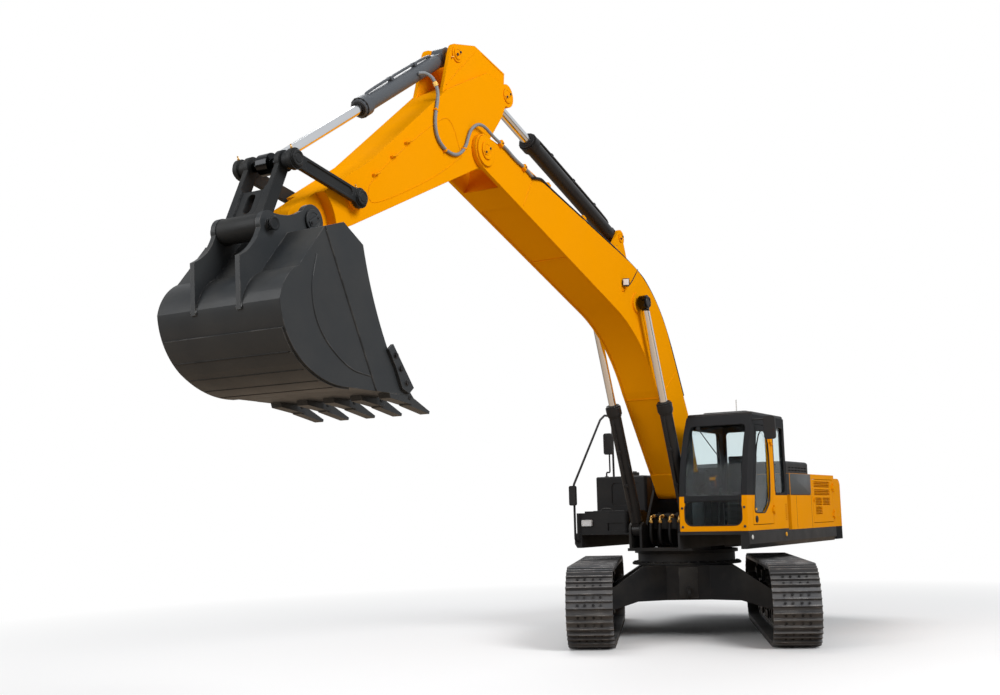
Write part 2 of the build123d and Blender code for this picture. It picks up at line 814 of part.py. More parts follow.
with BuildPart() as tool_box_lid:
    slab(box_rear + hinge_leaf + 2 + hinge_outer, box_front - 20, lid_outside, right_inside, box_top + seat_gap,
         box_top + lid_thick)
    fillet(tool_box_lid.edges().filter_by(Axis.Z).sort_by(Axis.X)[-2:], radius=40)
    for y in (lid_outside + 140, right_inside - 140):
        slab(box_rear + hinge_leaf + 2, box_rear + 2 * hinge_leaf, y - hinge_length / 2, y + hinge_length / 2,
             box_top + seat_gap, box_top + hinge_stand + hinge_pin)
        with Locations((box_rear + hinge_leaf + 2, y, box_top + hinge_stand)):
            Cylinder(hinge_outer, hinge_length, rotation=(90, 0, 0))
            Cylinder(hinge_pin + running_fit, hinge_length, rotation=(90, 0, 0), mode=Mode.SUBTRACT)
finish(tool_box_lid.part, "tool_box_lid")

# Cab: one shell with its windows and door opening cut, roof and floor apart
cab_base = deck_top + 20
lean_low = 1800.0
lean_x = 1060.0
cab_mid_x = (cab_rear + lean_x) / 2
cab_mid_y = (cab_left + cab_right) / 2
cab_y = cab_left - cab_right
window_half = cab_y / 2 - 75


def cab_outline(inset=0.0):
    """Side view of the cab, its walls moved in by an inset."""
    with BuildSketch() as view:
        with BuildLine():
            rear = Line((cab_rear, cab_base), (cab_front, cab_base))
            lower = Line(rear @ 1, (cab_front, lean_low))
            sweep_up = ThreePointArc(
                lower @ 1, ((cab_front + lean_x) / 2 + 70, (lean_low + cab_top) / 2 + 60), (lean_x, cab_top)
            )
            Line(sweep_up @ 1, (cab_rear, cab_top))
            Line((cab_rear, cab_top), rear @ 0)
        make_face()
        if inset:
            offset(amount=-inset, kind=Kind.INTERSECTION, mode=Mode.REPLACE)
    return view.sketch


door_front_low = 1230.0
door_front_high = 1000.0
door_rear = 390.0
door_base = cab_base + 70
door_top = cab_top - 130
sill = 1960.0
quarter_rear = -160.0
quarter_front = 280.0
right_window_rear = -40.0
right_window_front = 1000.0
lower_bottom = 1545.0
lower_top = 1865.0
lower_corner = 110.0
slit_x = -170.0
slit_low = 1590.0
slit_pitch = 30.0
slit_count = 8
slit_length = 70.0
slit_height = 9.0


def door_outline(inset=0.0):
    """Side view of the cab door, its edge moved in by an inset."""
    with BuildSketch() as view:
        with BuildLine():
            Polyline(
                (door_rear, door_base), (door_front_low, door_base), (door_front_low, lean_low),
                (door_front_high, door_top), (door_rear, door_top), close=True,
            )
        make_face()
        if inset:
            offset(amount=-inset, kind=Kind.INTERSECTION, mode=Mode.REPLACE)
    return view.sketch


def door_pane():
    """Side view of the door's window, its lower rear corner cut off."""
    with BuildSketch() as view:
        add(door_outline(door_gap + door_frame))
        with BuildLine():
            Polyline((door_rear, door_base), (door_front_low, door_base), (door_front_low, door_sill),
                     (door_rear + 330, door_sill), (door_rear, door_sill + 190), close=True)
        make_face(mode=Mode.SUBTRACT)
        fillet(view.vertices(), radius=pane_corner / 2)
    return view.sketch


def pane(low, high, bottom, top, corner):
    """Window outline with round corners, between its edges."""
    with BuildSketch() as view:
        with Locations(((low + high) / 2, (bottom + top) / 2)):
            RectangleRounded(high - low, top - bottom, corner)
    return view.sketch


def quarter_outline():
    """Side view of the window behind the door."""
    return pane(quarter_rear, quarter_front, sill, door_top, pane_corner)


def right_outline():
    """Side view of the window on the boom's side."""
    return pane(right_window_rear, right_window_front, sill, door_top - 30, pane_corner)


def rear_outline():
    """Rear view of the back window, across and up."""
    return pane(cab_mid_y - window_half, cab_mid_y + window_half, sill + 10, door_top - 10, pane_corner)


def front_outline():
    """Front view of the windscreen, across and up."""
    return pane(cab_mid_y - window_half, cab_mid_y + window_half, sill - 20, door_top, pane_corner)


def lower_outline():
    """Front view of the lower pane with its large round corners."""
    with BuildSketch() as view:
        with BuildLine():
            low, high = cab_mid_y - window_half, cab_mid_y + window_half
            FilletPolyline(
                (low, lower_top), (low, lower_bottom), (high, lower_bottom), (high, lower_top),
                radius=lower_corner,
            )
            Line((high, lower_top), (low, lower_top))
        make_face()
    return view.sketch


with BuildPart() as cab_frame:
    with BuildSketch(Plane.XZ.offset(-cab_mid_y)):
        add(cab_outline())
    extrude(amount=cab_y / 2, both=True)
    with BuildSketch(Plane.XZ.offset(-cab_mid_y)):
        add(cab_outline(cab_wall))
    extrude(amount=cab_y / 2 - cab_wall, both=True, mode=Mode.SUBTRACT)
    with Locations((cab_mid_x, cab_mid_y, cab_base)):
        Box(lean_x - cab_rear - 2 * cab_wall + 300, cab_y - 2 * cab_wall, 4 * cab_wall, mode=Mode.SUBTRACT)
    with Locations((cab_mid_x, cab_mid_y, cab_top)):
        Box(lean_x - cab_rear - 6 * cab_wall, cab_y - 4 * cab_wall, 4 * cab_wall, mode=Mode.SUBTRACT)
    with BuildSketch(Plane.YZ.offset(cab_front - 500)):
        add(front_outline())
        add(lower_outline())
    extrude(amount=600, mode=Mode.SUBTRACT)
    with BuildSketch(Plane.YZ.offset(cab_rear)):
        add(rear_outline())
    extrude(amount=2 * cab_wall, both=True, mode=Mode.SUBTRACT)
    with BuildSketch(Plane.XZ.offset(-cab_left)):
        add(door_outline())
        add(quarter_outline())
    extrude(amount=2 * cab_wall, both=True, mode=Mode.SUBTRACT)
    with BuildSketch(Plane.XZ.offset(-cab_right)):
        add(right_outline())
    extrude(amount=2 * cab_wall, both=True, mode=Mode.SUBTRACT)
    for step in range(slit_count):
        with Locations((slit_x, cab_left, slit_low + step * slit_pitch)):
            Box(slit_length, 3 * cab_wall, slit_height, mode=Mode.SUBTRACT)
    for z in (door_base + 200, door_top - 200):
        side_hinge(door_rear, cab_left, z, 1, False)
finish(cab_frame.part, "cab_frame")

with BuildPart() as cab_floor:
    slab(cab_rear, cab_front, cab_right, cab_left, deck_top, cab_base)
finish(cab_floor.part, "cab_floor")

with BuildPart() as cab_roof:
    slab(cab_rear + 10, lean_x - 10, cab_right + 10, cab_left - 10, cab_top, cab_top + roof_height)
    fillet(cab_roof.edges().group_by(Axis.Z)[-1], radius=roof_round)
    with BuildSketch(Plane.XY.offset(cab_top + roof_height - seat_gap)):
        with Locations((cab_mid_x + 80, cab_mid_y)):
            RectangleRounded(hatch_length, hatch_width, pane_corner)
    extrude(amount=hatch_height)
    chamfer(cab_roof.edges().group_by(Axis.Z)[-1], length=hatch_height / 2)
finish(cab_roof.part, "cab_roof")

with BuildPart() as cab_glass:
    with BuildSketch(Plane.XZ.offset(-cab_mid_y)):
        add(cab_outline(glass_inset))
        add(cab_outline(glass_inset + glass), mode=Mode.SUBTRACT)
    extrude(amount=cab_y / 2, both=True)
    with BuildSketch(Plane.YZ.offset(cab_front - 500)):
        add(front_outline())
        add(lower_outline())
    extrude(amount=600, mode=Mode.INTERSECT)
    with BuildSketch(Plane.YZ.offset(cab_rear + glass_inset)):
        add(rear_outline())
    extrude(amount=glass)
    with BuildSketch(Plane.XZ.offset(-cab_right - glass_inset)):
        add(right_outline())
    extrude(amount=-glass)
    with BuildSketch(Plane.XZ.offset(-cab_left + glass_inset)):
        add(quarter_outline())
    extrude(amount=glass)
finish(cab_glass.part, "cab_glass")

with BuildPart() as cab_door:
    with BuildSketch(Plane.XZ.offset(-cab_left)):
        add(door_outline(door_gap))
    extrude(amount=cab_wall)
    with BuildSketch(Plane.XZ.offset(-cab_left)):
        add(door_pane())
    extrude(amount=cab_wall, mode=Mode.SUBTRACT)
    for z in (door_base + 200, door_top - 200):
        side_hinge(door_rear, cab_left, z, 1, True)
finish(cab_door.part, "cab_door")

with BuildPart() as cab_door_glass:
    with BuildSketch(Plane.XZ.offset(-cab_left + glass_inset)):
        add(door_pane())
    extrude(amount=glass)
finish(cab_door_glass.part, "cab_door_glass")

with BuildPart() as seat:
    slab(160, 260, cab_mid_y - 240, cab_mid_y + 240, cab_base + 400, cab_base + 1080)
    slab(260, 720, cab_mid_y - 240, cab_mid_y + 240, cab_base + 400, cab_base + 520)
    slab(250, 650, cab_mid_y - 180, cab_mid_y + 180, cab_base, cab_base + 400)
finish(seat.part, "seat")

with BuildPart() as controls:
    for turn in (-1, 1):
        slab(350, 800, cab_mid_y + turn * 320 - 55, cab_mid_y + turn * 320 + 55, cab_base, cab_base + 600)
        slab(740, 780, cab_mid_y + turn * 320 - 20, cab_mid_y + turn * 320 + 20, cab_base + 600, cab_base + 780)
finish(controls.part, "controls")


def tube(points, radius, bend):
    """Bent round bar along a line of corners, fused into the part being built."""
    with BuildLine() as path:
        FilletPolyline(*points, radius=bend)
    with BuildSketch(Plane(origin=path.line @ 0, z_dir=path.line % 0)) as section:
        Circle(radius)
    sweep(sections=section.sketch, path=path.line)


rail_radius = 17.0
rail_y = right_outside + 45.0
rail_foot = deck_front_right + seat_gap
rail_front = deck_front_right + 90.0
rail_base_z = deck_top - 110.0
rail_knee = 2165.0
rail_brow = 3180.0
rail_top = 3260.0
rail_rear = tank_rear + 330.0
post_radius = 12.0
post_x = tank_front - 70.0
post_y = rail_y + 120.0
mirror_x = tank_front - 190.0
mirror_post = tank_top + 420.0
with BuildPart() as handrails:
    tube([(rail_foot, rail_y, rail_base_z), (rail_front, rail_y, rail_base_z), (rail_front, rail_y, rail_knee),
          (rail_rear + 420, rail_y, rail_brow), (rail_rear + 260, rail_y, rail_top), (rail_rear, rail_y, rail_top),
          (rail_rear, rail_y, tank_top + seat_gap)], rail_radius, 50)
    tube([(post_x, post_y, tank_top + seat_gap), (post_x, post_y, tank_top + 70), (mirror_x, post_y, tank_top + 70),
          (mirror_x, post_y, mirror_post)], post_radius, 30)
finish(handrails.part, "handrails")

# Mirrors: two on the right rails, one on the cab's front left pillar
mirror_thick = 45.0


def mirror_head(x, y, z, width, height):
    """Round-cornered mirror head that looks to the rear."""
    with BuildSketch(Plane.YZ.offset(x)) as face:
        with Locations((y, z)):
            RectangleRounded(width, height, width / 4)
    extrude(face.sketch, amount=mirror_thick)


left_mirror_x = 1050.0
left_mirror_y = cab_left + 235.0
left_mirror_z = 2825.0
left_mirror_width = 155.0
mirror_arm_radius = 10.0
mirror_arm_z = left_mirror_z + 115.0
mirror_arm = left_mirror_y - left_mirror_width / 4 - cab_left - seat_gap
with BuildPart() as mirrors:
    mirror_head(mirror_x + post_radius + seat_gap, post_y, mirror_post + 90, 140, 330)
    mirror_head(rail_front + rail_radius + seat_gap, rail_y, rail_knee - 160, 110, 290)
    mirror_head(left_mirror_x, left_mirror_y, left_mirror_z, left_mirror_width, 310)
    with Locations((left_mirror_x + mirror_thick / 2, cab_left + seat_gap + mirror_arm / 2, mirror_arm_z)):
        Cylinder(mirror_arm_radius, mirror_arm, rotation=(90, 0, 0))
finish(mirrors.part, "mirrors")

lamp_mid_y = -1270.0
lamp_mid_z = 1600.0
lamp_width = 160.0
lamp_height = 90.0
lamp_deep = 45.0
lamp_rim = 12.0
with BuildPart() as lamps:
    with BuildSketch(Plane.YZ.offset(box_front + seat_gap)):
        with Locations((lamp_mid_y, lamp_mid_z)):
            RectangleRounded(lamp_width, lamp_height, lamp_rim)
    extrude(amount=lamp_deep)
    with BuildSketch(Plane.YZ.offset(box_front + seat_gap + lamp_deep - lamp_rim)):
        with Locations((lamp_mid_y, lamp_mid_z)):
            RectangleRounded(lamp_width - 2 * lamp_rim, lamp_height - 2 * lamp_rim, lamp_rim / 2)
    extrude(amount=lamp_rim, mode=Mode.SUBTRACT)
finish(lamps.part, "lamps")

exhaust_x = hood_rear + 500
exhaust_y = -1000.0
exhaust_height = 300.0
exhaust_radius = 70.0
pipe_wall = 10.0
with BuildPart() as exhaust:
    with Locations((exhaust_x, exhaust_y, housing_top)):
        Cylinder(exhaust_radius, exhaust_height, align=(Align.CENTER, Align.CENTER, Align.MIN))
    with Locations((exhaust_x, exhaust_y, housing_top + 2 * pipe_wall)):
        Cylinder(exhaust_radius - pipe_wall, exhaust_height, align=(Align.CENTER, Align.CENTER, Align.MIN),
                 mode=Mode.SUBTRACT)
finish(exhaust.part, "exhaust")


# Boom: a box of welded plate, bent at its elbow, forked at the arm
def boom_outline(inset=0.0):
    """Side view of the boom along its chord, without its end bosses."""
    with BuildSketch() as view:
        with BuildLine():
            low = Line((60, -180), (1700, 430))
            belly = ThreePointArc(low @ 1, (2560, 660), (3300, 592))
            under = Line(belly @ 1, (boom_chord - 60, -boom_boss + 8))
            tip = Line(under @ 1, (boom_chord + 40, boom_boss - 6))
            over = Polyline(tip @ 1, boom_brow, boom_crown)
            back = ThreePointArc(over @ 1, (2600, 1548), (1794, 1379))
            Polyline(back @ 1, (640, 770), (-130, 138), low @ 0)
        make_face()
        if inset:
            offset(amount=-inset, kind=Kind.INTERSECTION, mode=Mode.REPLACE)
    return view.sketch


with BuildPart() as boom:
    with BuildSketch(boom_side):
        add(boom_outline())
        Circle(boom_boss)
        with Locations((boom_chord, 0)):
            Circle(boom_boss)
    extrude(amount=boom_width / 2, both=True)
    with BuildSketch(boom_side):
        add(boom_outline(boom_plate))
        Circle(boom_boss + boom_plate, mode=Mode.SUBTRACT)
        with Locations((boom_chord, 0)):
            Circle(fork_depth + boom_plate, mode=Mode.SUBTRACT)
    extrude(amount=boom_width / 2 - boom_plate, both=True, mode=Mode.SUBTRACT)
    with BuildSketch(boom_side):
        add(boom_outline())
        add(boom_outline(boom_lip), mode=Mode.SUBTRACT)
        Circle(2 * boom_boss, mode=Mode.SUBTRACT)
        with Locations((boom_chord, 0)):
            Circle(fork_depth + 2 * boom_boss, mode=Mode.SUBTRACT)
    extrude(amount=boom_width / 2 - boom_lip_width, both=True, mode=Mode.SUBTRACT)
    with BuildSketch(boom_side):
        with Locations((boom_chord, 0)):
            Circle(fork_depth)
    extrude(amount=fork_half, both=True, mode=Mode.SUBTRACT)
    with BuildSketch(boom_side):
        Circle(boom_boss)
    extrude(amount=tower_inside - side_play, both=True)
    with BuildSketch(boom_side):
        Circle(foot_pin_radius + running_fit)
    extrude(amount=tower_inside, both=True, mode=Mode.SUBTRACT)
    for turn in (-1, 1):
        with BuildSketch(shifted(boom_side, turn * boom_width / 2)):
            with Locations((boom_chord, 0)):
                Circle(boom_boss - 20)
            with Locations((lift_eye_along, lift_eye_above)):
                Circle(130)
        extrude(amount=25, both=True)
        with BuildSketch(shifted(boom_side, turn * 97)):
            with BuildLine():
                Polyline((2860, 1500), (3560, 1300), (crowd_base_along + 105, crowd_base_above),
                         (crowd_base_along - 105, crowd_base_above), close=True)
            make_face()
            with Locations((crowd_base_along, crowd_base_above)):
                Circle(110)
        extrude(amount=20, both=True)
    with BuildSketch(boom_side):
        with Locations((crowd_base_along, crowd_base_above)):
            Circle(45)
    extrude(amount=125, both=True)
    with BuildSketch(boom_side):
        with Locations((boom_chord, 0)):
            Circle(arm_pin_radius)
    extrude(amount=boom_width / 2 + 40, both=True)
finish(boom.part, "boom")


# Arm: a tapered box with the cylinder brackets on its head
def arm_outline(inset=0.0):
    """Side view of the arm along its length, without its end bosses."""
    with BuildSketch() as view:
        with BuildLine():
            Polyline(
                (arm_length, -148), (2600, -182), (0, -150), (-190, 60), (-640, 270), (-800, 380),
                (-985, 560), (-560, 790), (350, 745), (2024, 318), (arm_length + 20, 148), close=True,
            )
        make_face()
        if inset:
            offset(amount=-inset, kind=Kind.INTERSECTION, mode=Mode.REPLACE)
    return view.sketch


with BuildPart() as arm:
    with BuildSketch(arm_side):
        add(arm_outline())
        Circle(185)
        with Locations((arm_length, 0)):
            Circle(150)
        with Locations((crowd_eye_along, crowd_eye_above)):
            Circle(135)
    extrude(amount=arm_width / 2, both=True)
    with BuildSketch(arm_side):
        add(arm_outline(arm_plate))
        Circle(185 + arm_plate, mode=Mode.SUBTRACT)
        with Locations((arm_length, 0)):
            Circle(430, mode=Mode.SUBTRACT)
        with Locations((crowd_eye_along, crowd_eye_above)):
            Circle(420, mode=Mode.SUBTRACT)
    extrude(amount=arm_width / 2 - arm_plate, both=True, mode=Mode.SUBTRACT)
    with BuildSketch(arm_side):
        with Locations((crowd_eye_along, crowd_eye_above)):
            Circle(400)
    extrude(amount=75, both=True, mode=Mode.SUBTRACT)
    for turn in (-1, 1):
        with BuildSketch(shifted(arm_side, turn * (arm_tip_half + 100))):
            with Locations((arm_length, 0)):
                Circle(400)
        extrude(amount=100, both=True, mode=Mode.SUBTRACT)
        with BuildSketch(shifted(arm_side, turn * (head_inside + head_plate / 2))):
            with BuildLine():
                Polyline((-900, 560), (460, 690), (curl_base_along + head_boss - 12, curl_base_above + 60),
                         (curl_base_along, curl_base_above + head_boss), (-485, 1105), (-590, 1030), (-1000, 725),
                         close=True)
            make_face()
            with Locations((curl_base_along, curl_base_above)):
                Circle(head_boss)
        extrude(amount=head_plate / 2, both=True)
        with BuildSketch(shifted(arm_side, turn * (head_inside + head_plate))):
            with Locations((curl_base_along, curl_base_above)):
                Circle(head_boss - 22)
        extrude(amount=14, both=True)
        with BuildSketch(shifted(arm_side, turn * (rocker_inside + rocker_plate) / 2)):
            with Locations((rocker_pin_along, rocker_pin_above)):
                Circle(48)
        extrude(amount=(rocker_inside + rocker_plate) / 2 + 20, both=True)
        with BuildSketch(shifted(arm_side, turn * (arm_width / 2 + 25))):
            with Locations((rocker_pin_along, rocker_pin_above)):
                Circle(95)
        extrude(amount=30, both=True)
    with BuildSketch(arm_side):
        with Locations((curl_base_along, curl_base_above)):
            Circle(curl_pin)
    extrude(amount=head_inside + head_plate / 2, both=True)
    with BuildSketch(arm_side):
        Circle(arm_pin_radius + running_fit)
        with Locations((arm_length, 0)):
            Circle(arm_pin_radius + running_fit)
    extrude(amount=arm_width, both=True, mode=Mode.SUBTRACT)
finish(arm.part, "arm")


# Cylinders: barrel with base eye and gland, rod with its own eye and pin
def between(base, eye):
    """Upright plane from a cylinder's base pin towards its rod eye, and their distance."""
    run = (eye[0] - base[0], eye[1] - base[1])
    return upright(base[0], base[1], math.degrees(math.atan2(run[1], run[0]))), math.hypot(*run)


def barrel_part(side, outer, rod, gland, eye_radius, eye_half, pin, neck):
    """Barrel along the cylinder's own plane, its base eye bored for the pin."""
    bore = outer - 22
    across = Plane(origin=side.origin, x_dir=side.z_dir, z_dir=side.x_dir)
    with BuildPart() as barrel:
        with BuildSketch(across.offset(neck)):
            Circle(outer)
        extrude(amount=gland - neck)
        with BuildSketch(across.offset(gland - gland_length)):
            Circle(outer + gland_flange)
        extrude(amount=gland_length - gland_nose)
        with BuildSketch(across.offset(gland - gland_nose)):
            Circle(outer + gland_flange / 3)
        extrude(amount=gland_nose)
        with BuildSketch(across.offset(gland - gland_length - gland_nose)):
            Circle(outer + gland_flange / 2)
        extrude(amount=gland_nose)
        with BuildSketch(across.offset(neck + 40)):
            Circle(bore)
        extrude(amount=gland - neck - 40 - 70, mode=Mode.SUBTRACT)
        with BuildSketch(across.offset(gland - 100)):
            Circle(rod + running_fit)
        extrude(amount=110, mode=Mode.SUBTRACT)
        with BuildSketch(side):
            Circle(eye_radius)
            with Locations((neck / 2, 0)):
                Rectangle(neck, 1.6 * min(eye_radius, outer))
        extrude(amount=min(eye_half, 0.75 * outer), both=True)
        with BuildSketch(side):
            Circle(eye_radius)
        extrude(amount=eye_half, both=True)
        with BuildSketch(side):
            Circle(pin + running_fit)
        extrude(amount=eye_half, both=True, mode=Mode.SUBTRACT)
    return barrel.part


def rod_part(side, reach, rod, inside, eye_radius, eye_half, pin_half):
    """Rod with its eye at the reach, and the pin that the eye carries."""
    across = Plane(origin=side.origin, x_dir=side.z_dir, z_dir=side.x_dir)
    with BuildPart() as bar:
        with BuildSketch(across.offset(reach - inside)):
            Circle(rod)
        extrude(amount=inside - eye_radius + 25)
        with BuildSketch(side):
            with Locations((reach, 0)):
                Circle(eye_radius)
        extrude(amount=eye_half, both=True)
        with BuildSketch(side):
            with Locations((reach, 0)):
                Circle(45)
        extrude(amount=pin_half, both=True)
    return bar.part


lift_eye = place(boom_side, lift_eye_along, lift_eye_above)
lift_side, lift_reach = between((lift_base_x, lift_base_z), lift_eye)
barrels = []
rods = []
for turn in (-1, 1):
    side = shifted(lift_side, turn * lift_y)
    barrels.append(barrel_part(side, 86, 52, 1860, 95, 55, 50, 130))
    rods.append(rod_part(side, lift_reach, 52, 2100, 95, 50, 62))
finish(Compound(children=barrels), "boom_barrels")
finish(Compound(children=rods), "boom_rods")

crowd_base = place(boom_side, crowd_base_along, crowd_base_above)
crowd_eye = place(arm_side, crowd_eye_along, crowd_eye_above)
crowd_side, crowd_reach = between(crowd_base, crowd_eye)
finish(barrel_part(crowd_side, 95, 58, 2440, 105, 72, 45, 170), "arm_barrel")
finish(rod_part(crowd_side, crowd_reach, 58, 2500, 105, 66, 68), "arm_rod")

curl_base = place(arm_side, curl_base_along, curl_base_above)
curl_eye = place(arm_side, curl_eye_along, curl_eye_above)
curl_side, curl_reach = between(curl_base, curl_eye)
finish(barrel_part(curl_side, 82, 50, 1765, 100, 72, 42, 170), "bucket_barrel")
finish(rod_part(curl_side, curl_reach, 50, 2150, 95, 60, link_leg_inside - side_play), "bucket_rod")


# Rocker links outside the arm, and the forged link down to the bucket
def straight_link(reach, first, second, waist):
    """Side view of a link between two eyes, drawn on the open sketch."""
    Circle(first)
    with Locations((reach, 0)):
        Circle(second)
    with Locations((reach / 2, 0)):
        Rectangle(reach, waist)


rocker_base = place(arm_side, rocker_pin_along, rocker_pin_above)
rocker_side, rocker_reach = between(rocker_base, curl_eye)
rocker_mid = rocker_inside + rocker_plate / 2
rocker_face = rocker_inside + rocker_plate
link_face = link_leg_inside + link_leg_plate
rockers = []
for turn in (-1, 1):
    with BuildPart() as rocker:
        with BuildSketch(shifted(rocker_side, turn * rocker_mid)):
            straight_link(rocker_reach, rocker_eye, rocker_eye, rocker_waist)
        extrude(amount=rocker_plate / 2, both=True)
        with BuildSketch(shifted(rocker_side, turn * rocker_face)):
            with Locations((rocker_reach / 2, 0)):
                SlotOverall(rocker_reach - 2.6 * rocker_eye, rocker_waist - 4 * rocker_pocket)
        extrude(amount=rocker_pocket, both=True, mode=Mode.SUBTRACT)
        with BuildSketch(shifted(rocker_side, turn * rocker_face)):
            with Locations((0, 0), (rocker_reach, 0)):
                Circle(0.84 * rocker_eye)
        extrude(amount=rocker_cap, both=True)
        with BuildSketch(shifted(rocker_side, turn * (rocker_inside + link_face + side_play) / 2)):
            with Locations((rocker_reach, 0)):
                Circle(0.8 * rocker_eye)
        extrude(amount=(rocker_inside - link_face - side_play) / 2, both=True)
        with BuildSketch(shifted(rocker_side, turn * rocker_mid)):
            Circle(rocker_pin + running_fit)
        extrude(amount=rocker_plate, both=True, mode=Mode.SUBTRACT)
    rockers.append(rocker.part)
finish(Compound(children=rockers), "rocker_links")

link_base = (bucket_x + link_x, bucket_z + link_z)
link_side, link_reach = between(link_base, curl_eye)
link_front = Plane(origin=link_side.origin, x_dir=link_side.x_dir, z_dir=link_side.y_dir)
leg_mid = link_leg_inside + link_leg_plate / 2
crotch = 0.53 * link_reach
with BuildPart() as bucket_link:
    with BuildSketch(link_front):
        with BuildLine():
            lower = Line((0, -link_face), (0, link_face))
            flank = ThreePointArc(lower @ 1, (0.35 * link_reach, link_face - 40), (0.7 * link_reach, link_face))
            brow = Polyline(flank @ 1, (0.7 * link_reach, -link_face))
            ThreePointArc(brow @ 1, (0.35 * link_reach, -link_face + 40), lower @ 0)
        make_face()
    extrude(amount=link_waist / 2, both=True)
    for turn in (-1, 1):
        with BuildSketch(shifted(link_side, turn * leg_mid)):
            straight_link(link_reach, link_boss - side_play, rocker_eye, link_waist)
        extrude(amount=link_leg_plate / 2, both=True)
    with BuildSketch(link_front):
        with Locations((crotch + link_reach / 2, 0)):
            RectangleRounded(link_reach, 2 * link_leg_inside, link_crotch)
    extrude(amount=2 * link_waist, both=True, mode=Mode.SUBTRACT)
    with BuildSketch(link_front):
        with Locations((0.33 * link_reach, 0)):
            SlotOverall(0.3 * link_reach, link_slot)
    extrude(amount=link_waist, both=True, mode=Mode.SUBTRACT)
    for turn in (-1, 1):
        with BuildSketch(link_front.offset(turn * link_waist / 2)):
            with Locations((0.36 * link_reach, 0)):
                RectangleRounded(0.45 * link_reach, 2 * link_leg_inside - link_slot / 2, link_slot / 2)
        extrude(amount=(link_waist - link_web) / 2, both=True, mode=Mode.SUBTRACT)
    with BuildSketch(link_side):
        Circle(link_boss - side_play)
    extrude(amount=ear_inside - side_play, both=True)
    with BuildSketch(link_side):
        Circle(link_pin + running_fit)
    extrude(amount=arm_width, both=True, mode=Mode.SUBTRACT)
finish(bucket_link.part, "bucket_link")


# Bucket: side plates and a wrapped shell, wear strips round its heel, ears for the arm and the link
mouth_top = (-185.0, -235.0)
mouth_mid = (-300.0, -620.0)
mouth_low = (lip_front + 35.0, bucket_floor + lip_thick)
top_front = (81.0, -85.0)
top_rear = (319.0, -165.0)
back_top = (642.0, -550.0)
shell_front = (265.0, -190.0)
heel_top = (bucket_heel, -850.0)
heel_mid = (790.0, -1095.0)
heel_low = (590.0, -1322.0)
floor_rear = (0.0, bucket_floor + 8.0)


def bucket_outline(inset=0.0):
    """Side view of the bucket about its arm pin, mouth towards the machine."""
    with BuildSketch() as view:
        with BuildLine():
            mouth = ThreePointArc(mouth_low, mouth_mid, mouth_top)
            top = Polyline(mouth @ 1, top_front, top_rear, back_top)
            shoulder = ThreePointArc(top @ 1, (806, -694), heel_top)
            heel = ThreePointArc(shoulder @ 1, heel_mid, heel_low)
            under = ThreePointArc(heel @ 1, (330, -1442), floor_rear)
            Polyline(under @ 1, (lip_front, bucket_floor), mouth @ 0)
        make_face()
        if inset:
            offset(amount=-inset, kind=Kind.INTERSECTION, mode=Mode.REPLACE)
    return view.sketch


def wear_outline():
    """Strips laid one after another over the heel and the floor."""
    first = math.radians(-16)
    last = math.radians(-100)
    centre = (90.0, -860.0)
    with BuildSketch() as view:
        add(bucket_outline(-wear_plate))
        add(bucket_outline(bucket_plate / 2), mode=Mode.SUBTRACT)
        for strip in range(wear_count + 1):
            turn = first + (last - first) * strip / wear_count
            with Locations(Location((*centre, 0), (0, 0, math.degrees(turn)))):
                with Locations((700, 0)):
                    Rectangle(500, 2 * wear_gap, mode=Mode.SUBTRACT)
        with BuildLine():
            Polyline(
                (centre[0] - 1200, centre[1] + 1600), (centre[0], centre[1]),
                (centre[0] + 1500 * math.cos(last), centre[1] + 1500 * math.sin(last)),
                (centre[0] - 1800, centre[1] - 900), close=True,
            )
        make_face(mode=Mode.SUBTRACT)
        with BuildLine():
            Polyline(
                (centre[0] - 1201, centre[1] + 1600), (centre[0] - 1, centre[1]), (centre[0], centre[1]),
                (centre[0] + 1500 * math.cos(first), centre[1] + 1500 * math.sin(first)),
                (centre[0] + 1500, centre[1] + 1600), close=True,
            )
        make_face(mode=Mode.SUBTRACT)
    return view.sketch


def ear_outline():
    """One ear: bosses for both pins, a fin that runs down the bucket's back."""
    with BuildSketch() as view:
        with BuildLine():
            dip = ThreePointArc((40, ear_boss - 8), (270, 0), (link_x - 40, link_z + link_boss - 10))
            crest = Line(dip @ 1, (link_x + link_boss - 10, link_z - 40))
            flank = ThreePointArc(crest @ 1, (735, -330), (893, -454))
            fin = Polyline(flank @ 1, (874, -895), (846, -890))
            Polyline(fin @ 1, (bucket_heel - 30, -780), (628, -566), (300, -190), (70, -110), (-135, -190),
                     (-ear_boss + 6, 30), dip @ 0)
        make_face()
        Circle(ear_boss)
        with Locations((link_x, link_z)):
            Circle(link_boss)
    return view.sketch


